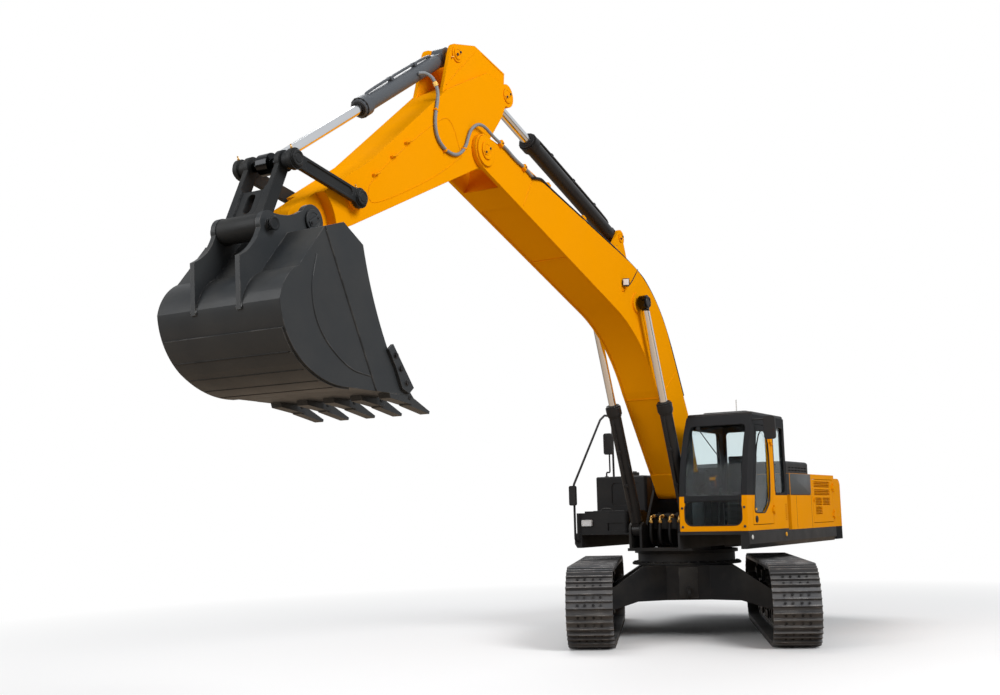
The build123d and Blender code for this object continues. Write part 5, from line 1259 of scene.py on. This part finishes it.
@dataclass
class BucketFittings(Assembly):
    """Bucket and linkage: bolts, tooth pins, weld seams, dark welds that also paint the shade in
    the wear plates' gaps, pin covers and grease nipples.
    """

    side_face: float = 0.675
    cutter_face: float = 0.715
    cutter_bolts: tuple[Spot, ...] = ((-0.6, -1.155), (-0.672, -1.265), (-0.758, -1.385))
    heel_seam: tuple[Spot, ...] = ((0.42, -0.42), (0.5, -0.72), (0.4, -1.06), (0.02, -1.33),
                                   (-0.28, -1.36))
    side_seam: tuple[Spot, ...] = ((0.3, -0.2), (-0.355, -1.465))
    ear_seam: tuple[Spot, ...] = ((0.33, -0.19), (0.63, -0.553), (0.815, -0.715), (0.872, -0.88))
    ear_edges: Spot = (0.225, 0.275)
    teeth: int = 5
    tooth_span: float = 1.245
    tooth_half: float = 0.062
    tooth_pin: Spot = (-0.845, -1.508)
    strip_half: float = 0.62
    strip_gaps: tuple[Spot, ...] = ((0.689, -1.246), (0.524, -1.37), (0.345, -1.4445),
                                    (0.164, -1.483))
    link_pin: Spot = (0.5441, -0.1367)
    link_pin_face: float = 0.324
    bucket_pin_face: float = 0.284
    rocker_face: float = 0.3375
    nipple_y: float = 0.303
    nipple_rise: float = 0.094

    def build(self) -> None:
        """Dress bucket and rockers."""
        weld = self.shape("bucket_seams", "bucket_graphite")
        for side in SIDES:
            face, facing = side * self.side_face, side * LEFT
            for spot in self.cutter_bolts:
                self.fasteners.add("bucket", BUCKET.at(*spot, side * self.cutter_face), facing,
                                   0.022)
            weld.tube(BUCKET.line(self.heel_seam, face), 0.008, 8, 3)
            weld.bead(BUCKET.line(self.side_seam, face), 0.009)
            for edge in self.ear_edges:
                weld.bead(BUCKET.line(self.ear_seam, side * edge), 0.009)
            self.retainer("bucket", f"bucket_pin_cover_{side}",
                          BUCKET.at(0, 0, side * self.bucket_pin_face), side, 0.1,
                          "bucket_graphite")
            cap = self.shape(f"link_pin_cap_{side}", "link_casting")
            cap.cap(BUCKET.at(*self.link_pin, side * self.link_pin_face), facing, 0.06, 0.014,
                    0.004)
            cap.ride("bucket")
            self.rocker_ends(side)
        weld.ride("bucket")
        # Weld beads across the gaps between the wear plates, in the darker link casting finish so
        # that they also stand for painted shade in those gaps
        joint = self.shape("wear_strip_welds_and_gap_shade", "link_casting")
        for gap in self.strip_gaps:
            joint.bead([BUCKET.at(*gap, side * self.strip_half) for side in SIDES], 0.012)
        joint.ride("bucket")
        pins = self.shape("tooth_pins", "link_casting")
        for index in range(self.teeth):
            y = self.tooth_span * (index / (self.teeth - 1) - 0.5)
            for side in SIDES:
                seat = BUCKET.at(*self.tooth_pin, y + side * self.tooth_half)
                pins.cap(seat, side * LEFT, 0.02, 0.008, 0.003)
        pins.ride("bucket")

    def rocker_ends(self, side: int) -> None:
        """Round covers and grease nipples on both ends of one rocker.

        Args:
            side: 1 for the machine's left, -1 for its right.
        """
        facing = side * LEFT
        ends = self.shape(f"rocker_covers_{side}", "link_casting")
        brass = self.shape(f"rocker_nipples_{side}", "brass")
        for pin in (ROCKER_PIN, CURL_EYE):
            seat = ARM.at(*pin, side * self.rocker_face)
            ends.lathe(seat, facing, [(0.072, 0.0), (0.072, 0.011), (0.067, 0.015), (0.05, 0.015),
                                      (0.047, 0.01), (0.042, 0.01), (0.039, 0.015), (0.01, 0.016)])
            self.fasteners.circle("rocker_links", seat + 0.014 * facing, facing, 0.058, 3, 0.007)
            above = ARM.basis() @ UP
            foot = ARM.at(*pin, side * self.nipple_y) + self.nipple_rise * above
            brass.nipple(foot, above)
        ends.ride("rocker_links")
        brass.ride("rocker_links")


@dataclass(frozen=True)
class Cylinder:
    """One cylinder's gland and feed pipe: places along and above on its plane."""

    body: str
    side: Side
    ys: tuple[float, ...]
    gland: float
    outer: float
    rod: float
    pipe_name: str
    pipe_finish: str
    pipe_y: float
    pipe_route: tuple[Spot, ...]
    pipe_radius: float
    clamps: tuple[Spot, ...]
    clamp_size: Point = (0.05, 0.06, 0.05)


@dataclass
class Cylinders(Assembly):
    """Cylinders: gland bolts, wiper rings and feed pipes with their clamps."""

    rows: tuple[Cylinder, ...] = (
        Cylinder(
            "boom_barrels", LIFT, ys=(-0.385, 0.385), gland=1.86, outer=0.086, rod=0.052,
            pipe_name="lift_feed_pipes", pipe_finish="cylinder_black", pipe_y=0.0,
            pipe_route=((0.3, -0.07), (0.36, -0.104), (1.58, -0.104), (1.68, -0.08)),
            pipe_radius=0.015, clamps=((0.7, -0.092), (1.2, -0.092)),
        ),
        Cylinder(
            "arm_barrel", CROWD, ys=(0.0,), gland=2.44, outer=0.095, rod=0.058,
            pipe_name="crowd_feed_pipe", pipe_finish="cylinder_black", pipe_y=0.03,
            pipe_route=((0.25, 0.10), (0.32, 0.135), (2.2, 0.135), (2.3, 0.118)),
            pipe_radius=0.017, clamps=((0.7, 0.118), (1.3, 0.118), (1.9, 0.118)),
        ),
        Cylinder(
            "bucket_barrel", CURL, ys=(0.0,), gland=1.765, outer=0.082, rod=0.05,
            pipe_name="curl_feed_pipe", pipe_finish="cylinder_grey", pipe_y=0.02,
            pipe_route=((0.24, 0.07), (0.3, 0.108), (1.55, 0.108), (1.63, 0.08)),
            pipe_radius=0.015, clamps=((0.6, 0.1), (1.1, 0.1)), clamp_size=(0.05, 0.055, 0.045),
        ),
    )

    def build(self) -> None:
        """Dress every cylinder."""
        for row in self.rows:
            self.dress(row)

    def dress(self, row: Cylinder) -> None:
        """Dress one cylinder, or a pair on the same plane.

        Args:
            row: places and sizes of its fittings.
        """
        side, gland, rod = row.side, row.gland, row.rod
        way = side.at(1, 0) - side.at(0, 0)
        wiper = self.shape(f"wiper_{row.body}", "hose_rubber")
        feed = self.shape(row.pipe_name, row.pipe_finish)
        for y in row.ys:
            self.fasteners.circle(row.body, side.at(gland - 0.026, 0, y), way,
                                  row.outer + 0.0145, 12, 0.0075)
            wiper.lathe(side.at(gland - 0.001, 0, y), way,
                        [(rod + 0.022, 0.0), (rod + 0.02, 0.008), (rod + 0.006, 0.012),
                         (rod + 0.001, 0.006)])
            feed.tube(side.line(row.pipe_route, y + row.pipe_y), row.pipe_radius)
            for spot in row.clamps:
                feed.block(side.at(*spot, y + row.pipe_y), row.clamp_size, side.basis(), 0.006)
        wiper.ride(row.body)
        feed.ride(row.body)


@dataclass
class UpperFittings(Assembly):
    """Machinery deck: backings, dark panels, latches, tank cap, treads, lamp, mirrors and hoses."""

    skin: float = 1.49
    tank_top: float = 2.29
    lid_top: float = 1.77
    tank_cap: Spot = (-0.62, -1.06)
    elbows: tuple[float, ...] = (-0.215, -0.075, 0.075, 0.215)
    panel_top: float = 2.246
    panel_bottom: float = 1.945
    # x, y, z, width and height of each mirror
    mirror_faces: tuple[tuple[float, ...], ...] = (
        (-0.2377, -1.31, 2.8, 0.118, 0.3), (0.7573, -1.43, 2.005, 0.09, 0.262),
        (1.05, 1.712, 2.825, 0.132, 0.282),
    )

    def build(self) -> None:
        """Dress the deck and its covers."""
        self.panels()
        self.covers()
        self.treads()
        self.lines()
        for name, finish, x, z in (("reflector_front", "reflector_white", 1.335, 1.389),
                                   ("reflector_rear", "reflector_amber", -0.077, 1.392)):
            disc = self.shape(name, finish)
            disc.cap(Vector((x, self.skin, z)), LEFT, 0.03, 0.008)
            disc.ride("upper")
        lens = self.shape("box_lamp_lens", "lamp_lens")
        lens.block(Vector((0.6755, -1.27, 1.6)), (0.006, 0.134, 0.064), None, 0.0025)
        lens.ride("upper")

    def panels(self) -> None:
        """Backings of grilles and louvres, dark panels behind the cab, and seams of the skin."""
        backing = self.shape("grille_backing", "body_yellow")
        backing.block(Vector((-1.965, 1.444, 1.85)), (1.02, 0.008, 0.62), None, 0.002)
        backing.ride("radiator_door")
        inside = self.shape("louvre_backing", "hose_rubber")
        inside.block(Vector((-0.885, 1.42, 2.315)), (0.98, 0.008, 0.1), None, 0.002)
        inside.block(Vector((-0.17, 1.423, 1.695)), (0.09, 0.006, 0.26), None, 0.002)
        inside.ride("upper")
        dark = self.shape("dark_panel", "panel_graphite")
        top, bottom = self.panel_top, self.panel_bottom
        corners = ((-1.338, top), (-0.362, top), (-0.362, bottom), (-1.30, bottom), (-1.338, 1.98))
        dark.plate([Vector((x, self.skin - 0.001, z)) for x, z in corners], 0.005 * LEFT, 0.0015)
        brow = ((0.366, top), (1.486, top), (1.486, bottom), (0.366, bottom))
        dark.plate([Vector((-0.351, y, z)) for y, z in brow], 0.005 * FORE, 0.0015)
        dark.ride("upper")
        seams = self.shape("panel_seams", "hose_rubber")
        for x, z, wide, tall in ((-1.345, 1.85, 0.007, 0.79), (-0.85, 1.94, 0.98, 0.007),
                                 (-0.62, 1.69, 0.007, 0.49)):
            seams.block(Vector((x, self.skin, z)), (wide, 0.0016, tall), None, 0.0005)
        seams.ride("upper")

    def covers(self) -> None:
        """Latches, grips, tank cap, feet of the rails and mirror glass."""
        for body, x, side in (("radiator_door", -1.475, 1), ("pump_door", -1.2, -1)):
            latch = self.shape(f"{body}_latch", "body_yellow")
            seat = Vector((x, side * self.skin, 1.88))
            latch.cap(seat, side * LEFT, 0.032, 0.01, 0.003)
            latch.block(seat + Vector((0, side * 0.014, -0.012)), (0.022, 0.012, 0.075), None,
                        0.004)
            latch.ride(body)
        grip = self.shape("hood_grips", "chassis_black")
        for y in (-0.42, 0.42):
            grip.handle(Vector((-2.32, y - 0.07, 2.452)), 0.048 * UP, 0.14 * LEFT, 0.009)
        grip.ride("engine_hood")
        cap = self.shape("tank_cap", "chassis_black")
        cap.lathe(Vector((*self.tank_cap, self.tank_top)), UP,
                  [(0.09, 0.0), (0.09, 0.016), (0.07, 0.022), (0.07, 0.06), (0.062, 0.07),
                   (0.02, 0.072)])
        cap.block(Vector((*self.tank_cap, self.tank_top + 0.078)), (0.11, 0.024, 0.018), None,
                  0.006)
        cap.ride("upper")
        feet = self.shape("rail_feet", "chassis_black")
        feet.cap(Vector((0.6505, -1.43, 1.34)), FORE, 0.036, 0.01)
        feet.cap(Vector((-0.6297, -1.43, self.tank_top)), UP, 0.036, 0.01)
        feet.cap(Vector((-0.13, -1.31, self.tank_top)), UP, 0.03, 0.01)
        feet.ride("upper")
        glass = self.shape("mirror_glass", "mirror_silver")
        for x, y, z, width, height in self.mirror_faces:
            glass.block(Vector((x - 0.001, y, z)), (0.004, width, height), None, 0.0018)
        glass.ride("upper")

    def treads(self) -> None:
        """Tread strips on hood, tank and tool box, and the tool box's handle."""
        hood, top, lid_top = 2.461, self.tank_top + 0.002, self.lid_top + 0.002
        for name, body, spots, y, z, size in (
            ("hood_treads", "engine_hood", (-1.5, -1.72, -1.94, -2.16), 0.0, hood,
             (0.14, 0.86, 0.006)),
            ("tank_treads", "upper", (-0.16, -0.27, -0.38, -0.49), -0.88, top,
             (0.07, 0.36, 0.007)),
            ("lid_treads", "tool_box_lid", (0.16, 0.27, 0.38, 0.49), -0.98, lid_top,
             (0.07, 0.5, 0.007)),
        ):
            strips = self.shape(name, "bolt_dark")
            for x in spots:
                strips.block(Vector((x, y, z)), size, None, 0.002)
            if name == "lid_treads":
                strips.handle(Vector((0.6, -1.06, self.lid_top - 0.002)), 0.037 * UP, 0.16 * LEFT,
                              0.007)
            strips.ride(body)

    def lines(self) -> None:
        """Hoses in front of the boom's foot with their brass elbows, and the valve block."""
        hoses = self.shape("swing_hoses", "hose_rubber")
        brass = self.shape("hose_elbows", "brass")
        valve = self.shape("valve_block", "chassis_black")
        valve.block(Vector((0.4, 0.0, 1.6)), (0.3, 0.52, 0.22), None, 0.012)
        for y in self.elbows:
            hoses.tube([(0.72, y, 1.6), (0.75, y, 1.45), (0.73, y, 1.33), (0.62, y, 1.27),
                        (0.45, y, 1.262)], 0.022)
            brass.tube([(0.72, y, 1.58), (0.72, y, 1.665), (0.66, y, 1.676), (0.54, y, 1.676)],
                       0.02, 12, 2)
            brass.nut(Vector((0.72, y, 1.585)), UP, 0.028, 0.03, (0.003, 0.034, 0.037))
            brass.nut(Vector((0.6, y, 1.676)), FORE, 0.028, 0.03, (0.003, 0.03, 0.033))
            valve.cap(Vector((0.4, y, 1.708)), UP, 0.04, 0.02, 0.005)
        hoses.ride("upper")
        brass.ride("upper")
        valve.ride("upper")
        base = self.shape("valve_feet", "chassis_black")
        for y in (-0.2, 0.2):
            base.block(Vector((0.4, y, 1.366)), (0.24, 0.04, 0.26), None, 0.006)
        base.ride("upper")


@dataclass
class CabFittings(Assembly):
    """Cab: window seals, frame bolts, wiper, lock, aerial, levers, monitor and the stuffed seat."""

    left: float = 1.477
    right: float = 0.53
    middle: float = 1.0035
    floor: float = 1.47
    lean: float = 0.3199
    front_x: float = 1.449
    lean_from: float = 1.8
    seal: float = 0.009
    pane_half: float = 0.3985
    door_pane: tuple[Spot, ...] = ((0.8, 1.7), (1.152, 1.7), (1.152, 1.79), (0.925, 2.808),
                                   (0.468, 2.808), (0.468, 1.89), (0.72, 1.7), (0.8, 1.7))
    pedal_tilt: float = -18.0
    monitor: Spot = (1.02, 0.68)
    monitor_turn: float = -28.0
    seat_x: float = 0.45
    voxel: float = 0.012
    pressure: float = 4.0
    steps: int = 20
    swell: float = 0.016

    def front(self, y: float, z: float, out: float = 0.0) -> Vector:
        """Point on the leaning front, moved out in front of the skin."""
        return Vector((self.front_x - max(0.0, z - self.lean_from) * self.lean + out, y, z))

    @staticmethod
    def rounded(low: float, high: float, bottom: float, top: float, corner: float) -> list[Spot]:
        """Rectangle with round corners, closed.

        Args:
            low: one edge across.
            high: the other edge across.
            bottom: lower edge.
            top: upper edge.
            corner: radius of the corners.

        Returns:
            Points across and up.
        """
        points = []
        for centre, start in (
            ((high - corner, top - corner), 0), ((low + corner, top - corner), 90),
            ((low + corner, bottom + corner), 180), ((high - corner, bottom + corner), 270),
        ):
            for step in range(7):
                angle = math.radians(start + 15 * step)
                points.append((centre[0] + corner * math.cos(angle),
                               centre[1] + corner * math.sin(angle)))
        return points + [points[0]]

    def build(self) -> None:
        """Dress the cab."""
        self.seals()
        self.outside()
        self.inside()
        self.cushions()

    def seals(self) -> None:
        """Rubber round every pane."""
        low, high = self.middle - self.pane_half, self.middle + self.pane_half
        upper = self.rounded(low, high, 1.94, 2.886, 0.06)
        lower = self.rounded(low, high, 1.545, 1.865, 0.1)
        left = self.rounded(-0.16, 0.28, 1.96, 2.886, 0.06)
        right = self.rounded(-0.04, 1.0, 1.96, 2.856, 0.06)
        rear = self.rounded(low, high, 1.97, 2.876, 0.06)
        rubber = self.shape("window_seals", "hose_rubber")
        for loop in (
            [self.front(y, z, -0.004) for y, z in upper],
            [self.front(y, z, -0.004) for y, z in lower],
            [Vector((x, self.left - 0.003, z)) for x, z in left],
            [Vector((x, self.right + 0.003, z)) for x, z in right],
            [Vector((-0.237, y, z)) for y, z in rear],
        ):
            rubber.tube(loop, self.seal, 8, 0)
        rubber.ride("upper")
        door = self.shape("door_seal", "hose_rubber")
        door.tube([Vector((x, self.left - 0.003, z)) for x, z in self.door_pane], self.seal, 8, 2)
        door.ride("cab_door")

    def outside(self) -> None:
        """Frame bolts, wiper, lock, reflector and aerial."""
        for y in (self.right + 0.04, self.left - 0.04):
            for z in (1.53, 1.78):
                self.fasteners.add("upper", self.front(y, z), FORE, 0.013)
        wiper = self.shape("wiper", "moulded_plastic")
        foot = self.front(0.72, 2.86, 0.012)
        tip = self.front(1.08, 2.42, 0.02)
        wiper.cap(foot - 0.016 * FORE, FORE, 0.026, 0.03)
        wiper.tube([foot + 0.012 * FORE, foot.lerp(tip, 0.4) + 0.02 * FORE, tip], 0.007, 8, 1)
        wiper.tube([self.front(1.02, 2.67, 0.014), tip, self.front(1.1, 2.2, 0.014)], 0.008, 8, 1)
        wiper.ride("upper")
        lock = self.shape("door_lock", "moulded_plastic")
        lock.lathe(Vector((1.096, self.left, 1.618)), LEFT,
                   [(0.046, 0.0), (0.046, 0.008), (0.04, 0.012), (0.034, 0.008), (0.02, 0.008),
                    (0.018, 0.014), (0.004, 0.015)], 32)
        lock.ride("cab_door")
        mark = self.shape("door_reflector", "reflector_amber")
        mark.block(Vector((1.095, self.left + 0.002, 1.75)), (0.055, 0.006, 0.03), None, 0.002)
        mark.ride("cab_door")
        aerial = self.shape("aerial", "reflector_white")
        aerial.lathe(Vector((0.344, 1.0, 3.06)), UP,
                     [(0.022, 0.0), (0.02, 0.04), (0.008, 0.05), (0.006, 0.22), (0.009, 0.226),
                      (0.004, 0.234)], 20)
        aerial.ride("upper")

    def inside(self) -> None:
        """Wall linings, lever boots and grips, travel levers, pedals and monitor."""
        floor = self.floor
        lining = self.shape("cab_lining", "panel_graphite")
        lining.block(Vector((-0.186, self.middle, 1.72)), (0.01, 0.8, 0.42), None, 0.003)
        lining.block(Vector((0.52, self.right + 0.054, 1.72)), (1.2, 0.01, 0.42), None, 0.003)
        lining.ride("upper")
        grips = self.shape("lever_grips", "moulded_plastic")
        pedal = Matrix.Rotation(math.radians(self.pedal_tilt), 3, "Y")
        for side in SIDES:
            foot = Vector((0.76, self.middle + side * 0.32, floor + 0.6))
            grips.lathe(foot, UP, [(0.052, 0.0), (0.05, 0.02), (0.04, 0.03), (0.042, 0.04),
                                   (0.032, 0.05), (0.033, 0.06)])
            grips.lathe(foot + 0.13 * UP, UP, [(0.02, 0.0), (0.026, 0.02), (0.024, 0.06),
                                               (0.031, 0.09), (0.03, 0.105), (0.01, 0.112)])
            y = self.middle + side * 0.07
            grips.tube([(1.05, y, floor), (1.03, y, floor + 0.3), (0.97, y, floor + 0.5)], 0.014)
            grips.lathe(Vector((0.975, y, floor + 0.47)), Vector((-0.12, 0, 0.2)),
                        [(0.016, 0.0), (0.022, 0.015), (0.022, 0.11), (0.012, 0.12)], 18)
            grips.block(Vector((1.13, self.middle + side * 0.1, floor + 0.045)),
                        (0.2, 0.09, 0.018), pedal, 0.006)
        turn = Matrix.Rotation(math.radians(self.monitor_turn), 3, "Z")
        grips.block(Vector((*self.monitor, floor + 0.72)), (0.035, 0.24, 0.17), turn, 0.01)
        grips.tube([(1.0, 0.66, floor + 0.62), (0.98, 0.62, floor + 0.5), (0.9, 0.6, floor + 0.42)],
                   0.016)
        grips.ride("upper")
        screen = self.shape("monitor_face", "mirror_silver")
        screen.block(Vector((*self.monitor, floor + 0.725)) + turn @ Vector((-0.0185, 0, 0)),
                     (0.003, 0.205, 0.13), turn, 0.0012)
        screen.ride("upper")

    def cushions(self) -> None:
        """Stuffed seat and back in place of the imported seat, on a bellows stand."""
        stand = self.shape("seat_stand", "moulded_plastic")
        parts = [(0.04, (0.38, 0.34, 0.08), 0.012)]
        for step in range(5):
            wide = 0.33 if step % 2 else 0.29
            parts.append((0.11 + 0.055 * step, (wide, wide - 0.03, 0.056), 0.014))
        parts.append((0.385, (0.4, 0.36, 0.03), 0.008))
        for height, size, edge in parts:
            stand.block(Vector((self.seat_x, self.middle, self.floor + height)), size, None, edge)
        stand.ride("upper")
        pads = (("seat_cushion", (0.5, self.middle, self.floor + 0.46), (0.42, 0.44, 0.085)),
                ("seat_back", (0.215, self.middle, self.floor + 0.745), (0.07, 0.43, 0.6)))
        for name, centre, size in pads:
            pad = self.stuffed(name, Vector(centre), size)
            if name == "seat_cushion":
                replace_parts(pad, "seat")

    def stuffed(self, name: str, centre: Vector, size: Point) -> bpy.types.Object:
        """Cushion blown up by a short cloth simulation.

        Args:
            name: name of the cushion.
            centre: its middle.
            size: its three sides before it swells.

        Returns:
            The finished cushion.
        """
        core = bmesh.new()
        place = Matrix.Translation(centre) @ Matrix.Diagonal((*size, 1.0))
        bmesh.ops.create_cube(core, size=1.0, matrix=place)
        bmesh.ops.bevel(core, geom=core.edges[:], offset=0.022, segments=3, profile=0.5,
                        affect="EDGES")
        data = bpy.data.meshes.new(name)
        core.to_mesh(data)
        core.free()
        pad = bpy.data.objects.new(name, data)
        bpy.context.collection.objects.link(pad)
        remesh = pad.modifiers.new("remesh", "REMESH")
        remesh.mode = "VOXEL"
        remesh.voxel_size = self.voxel
        graph = bpy.context.evaluated_depsgraph_get()
        pad.data = bpy.data.meshes.new_from_object(pad.evaluated_get(graph))
        pad.modifiers.clear()
        before = [vertex.co.copy() for vertex in pad.data.vertices]
        cloth = pad.modifiers.new("cloth", "CLOTH")
        cloth.settings.use_pressure = True
        cloth.settings.uniform_pressure_force = self.pressure
        cloth.settings.effector_weights.gravity = 0.0
        scene = bpy.context.scene
        for step in range(1, self.steps + 1):
            scene.frame_set(step)
        graph = bpy.context.evaluated_depsgraph_get()
        swollen = bpy.data.meshes.new_from_object(pad.evaluated_get(graph))
        pad.modifiers.clear()
        scene.frame_set(1)
        for vertex, start in zip(swollen.vertices, before):
            move = vertex.co - start
            vertex.co = start + move * min(1.0, self.swell / max(move.length, 1e-6))
        pad.data = swollen
        swollen.materials.append(self.palette["seat_cloth"])
        swollen.polygons.foreach_set("use_smooth", [True] * len(swollen.polygons))
        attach(pad, "upper")
        LOG.info("cushion %s: %d faces", name, len(swollen.polygons))
        return pad


@dataclass(frozen=True)
class Lamp:
    """One soft lamp: place, target, size in metres and power in watts."""

    name: str
    place: Point
    target: Point
    size: float
    power: float


@dataclass
class Studio:
    """Pale floor, soft light and the photograph's camera, in metres and degrees."""

    floor_size: float = 160.0
    fade_from: float = 4.5
    fade_to: float = 13.0
    floor_glow: tuple[float, ...] = (0.46, 0.36, 0.27, 1)
    floor_tone: tuple[float, ...] = (0.9, 0.9, 0.9, 1)
    sky: tuple[float, ...] = (0.95, 0.97, 1.0, 1)
    sky_level: float = 0.4
    sky_mirrored: float = 0.62
    lamps: tuple[Lamp, ...] = (
        Lamp("key_lamp", (9.0, 16.5, 14.0), (2.5, 0.0, 2.0), 9.0, 2950.0),
        Lamp("front_lamp", (19.0, -6.0, 9.0), (3.0, 0.0, 2.0), 9.0, 1000.0),
        Lamp("top_lamp", (-4.0, -6.0, 17.0), (2.0, 0.0, 2.0), 10.0, 1200.0),
    )
    position: Point = (16.532, 6.856, 1.758)
    yaw_pitch_roll: Point = (211.054, 7.955, -1.3)
    focal_mm: float = 42.94
    sensor_mm: float = 36.0
    far_limit: float = 500.0

    def floor(self) -> None:
        """Lay the floor, which fades to plain white away from the machine."""
        mesh = bpy.data.meshes.new("floor")
        half = self.floor_size / 2
        corners = [(-half, -half, 0), (half, -half, 0), (half, half, 0), (-half, half, 0)]
        mesh.from_pydata(corners, [], [(0, 1, 2, 3)])
        floor = bpy.data.objects.new("floor", mesh)
        bpy.context.collection.objects.link(floor)
        material = bpy.data.materials.new("pale_floor")
        n = blank(material)
        place = n.add("ShaderNodeTexCoord")
        far = n.add("ShaderNodeVectorMath", {0: place.outputs["Object"]}, operation="LENGTH")
        away = n.ramp(far.outputs["Value"], self.fade_from, self.fade_to)
        light = n.add("ShaderNodeLightPath").outputs
        seen = n.math("MAXIMUM", light["Is Camera Ray"], light["Is Transmission Ray"])
        tone = n.mix(light["Is Camera Ray"], self.floor_glow, self.floor_tone)
        paper = n.add("ShaderNodeBsdfDiffuse", {"Color": tone})
        white = n.add("ShaderNodeEmission", {"Color": WHITE, "Strength": 1.0})
        n.show(n.add("ShaderNodeMixShader", {0: n.math("MULTIPLY", away, seen),
                                             1: paper.outputs[0], 2: white.outputs[0]}))
        mesh.materials.append(material)

    def lights(self) -> None:
        """Set the white surround and the large soft lamps."""
        world = bpy.data.worlds.new("studio")
        bpy.context.scene.world = world
        n = blank(world)
        light = n.add("ShaderNodeLightPath").outputs
        seen = n.math("MAXIMUM", light["Is Camera Ray"], light["Is Transmission Ray"])
        level = n.ramp(light["Is Glossy Ray"], 0.0, 1.0, self.sky_level, self.sky_mirrored)
        soft = n.add("ShaderNodeBackground", {"Color": self.sky, "Strength": level})
        white = n.add("ShaderNodeBackground", {"Color": WHITE, "Strength": 1.0})
        n.show(n.add("ShaderNodeMixShader", {0: seen, 1: soft.outputs[0], 2: white.outputs[0]}),
               "ShaderNodeOutputWorld")
        for lamp in self.lamps:
            data = bpy.data.lights.new(lamp.name, "AREA")
            data.energy = lamp.power
            data.size = lamp.size
            holder = bpy.data.objects.new(lamp.name, data)
            aim = (Vector(lamp.target) - Vector(lamp.place)).to_track_quat("-Z", "Y")
            holder.matrix_world = Matrix.Translation(lamp.place) @ aim.to_matrix().to_4x4()
            bpy.context.collection.objects.link(holder)

    def camera(self) -> None:
        """Place the camera at the photograph's angle."""
        yaw, pitch, roll = (math.radians(angle) for angle in self.yaw_pitch_roll)
        forward = Vector((math.cos(pitch) * math.cos(yaw), math.cos(pitch) * math.sin(yaw),
                          math.sin(pitch)))
        right = forward.cross(UP).normalized()
        up = right.cross(forward)
        side = math.cos(roll) * right + math.sin(roll) * up
        top = -math.sin(roll) * right + math.cos(roll) * up
        turn = Matrix((side, top, -forward)).transposed().to_4x4()
        lens = bpy.data.cameras.new("photo_camera")
        lens.sensor_fit = "HORIZONTAL"
        lens.sensor_width = self.sensor_mm
        lens.lens = self.focal_mm
        lens.clip_end = self.far_limit
        holder = bpy.data.objects.new("photo_camera", lens)
        holder.matrix_world = Matrix.Translation(self.position) @ turn
        bpy.context.collection.objects.link(holder)
        bpy.context.scene.camera = holder

    def build(self) -> None:
        """Floor, lights, camera and plain colour handling."""
        self.floor()
        self.lights()
        self.camera()
        bpy.context.scene.view_settings.view_transform = "Standard"


def main() -> None:
    """Build the studio, dress the nodes and add the fittings."""
    logging.basicConfig(level=logging.INFO, format="%(message)s")
    palette = Palette()
    Studio().build()
    NodeDress().dress(palette)
    fasteners = Fasteners(palette)
    for assembly in (Undercarriage, BoomFittings, ArmFittings, BucketFittings, Cylinders,
                     UpperFittings, CabFittings):
        assembly(palette, fasteners).build()
    fasteners.build()


if __name__ == "__main__":
    main()
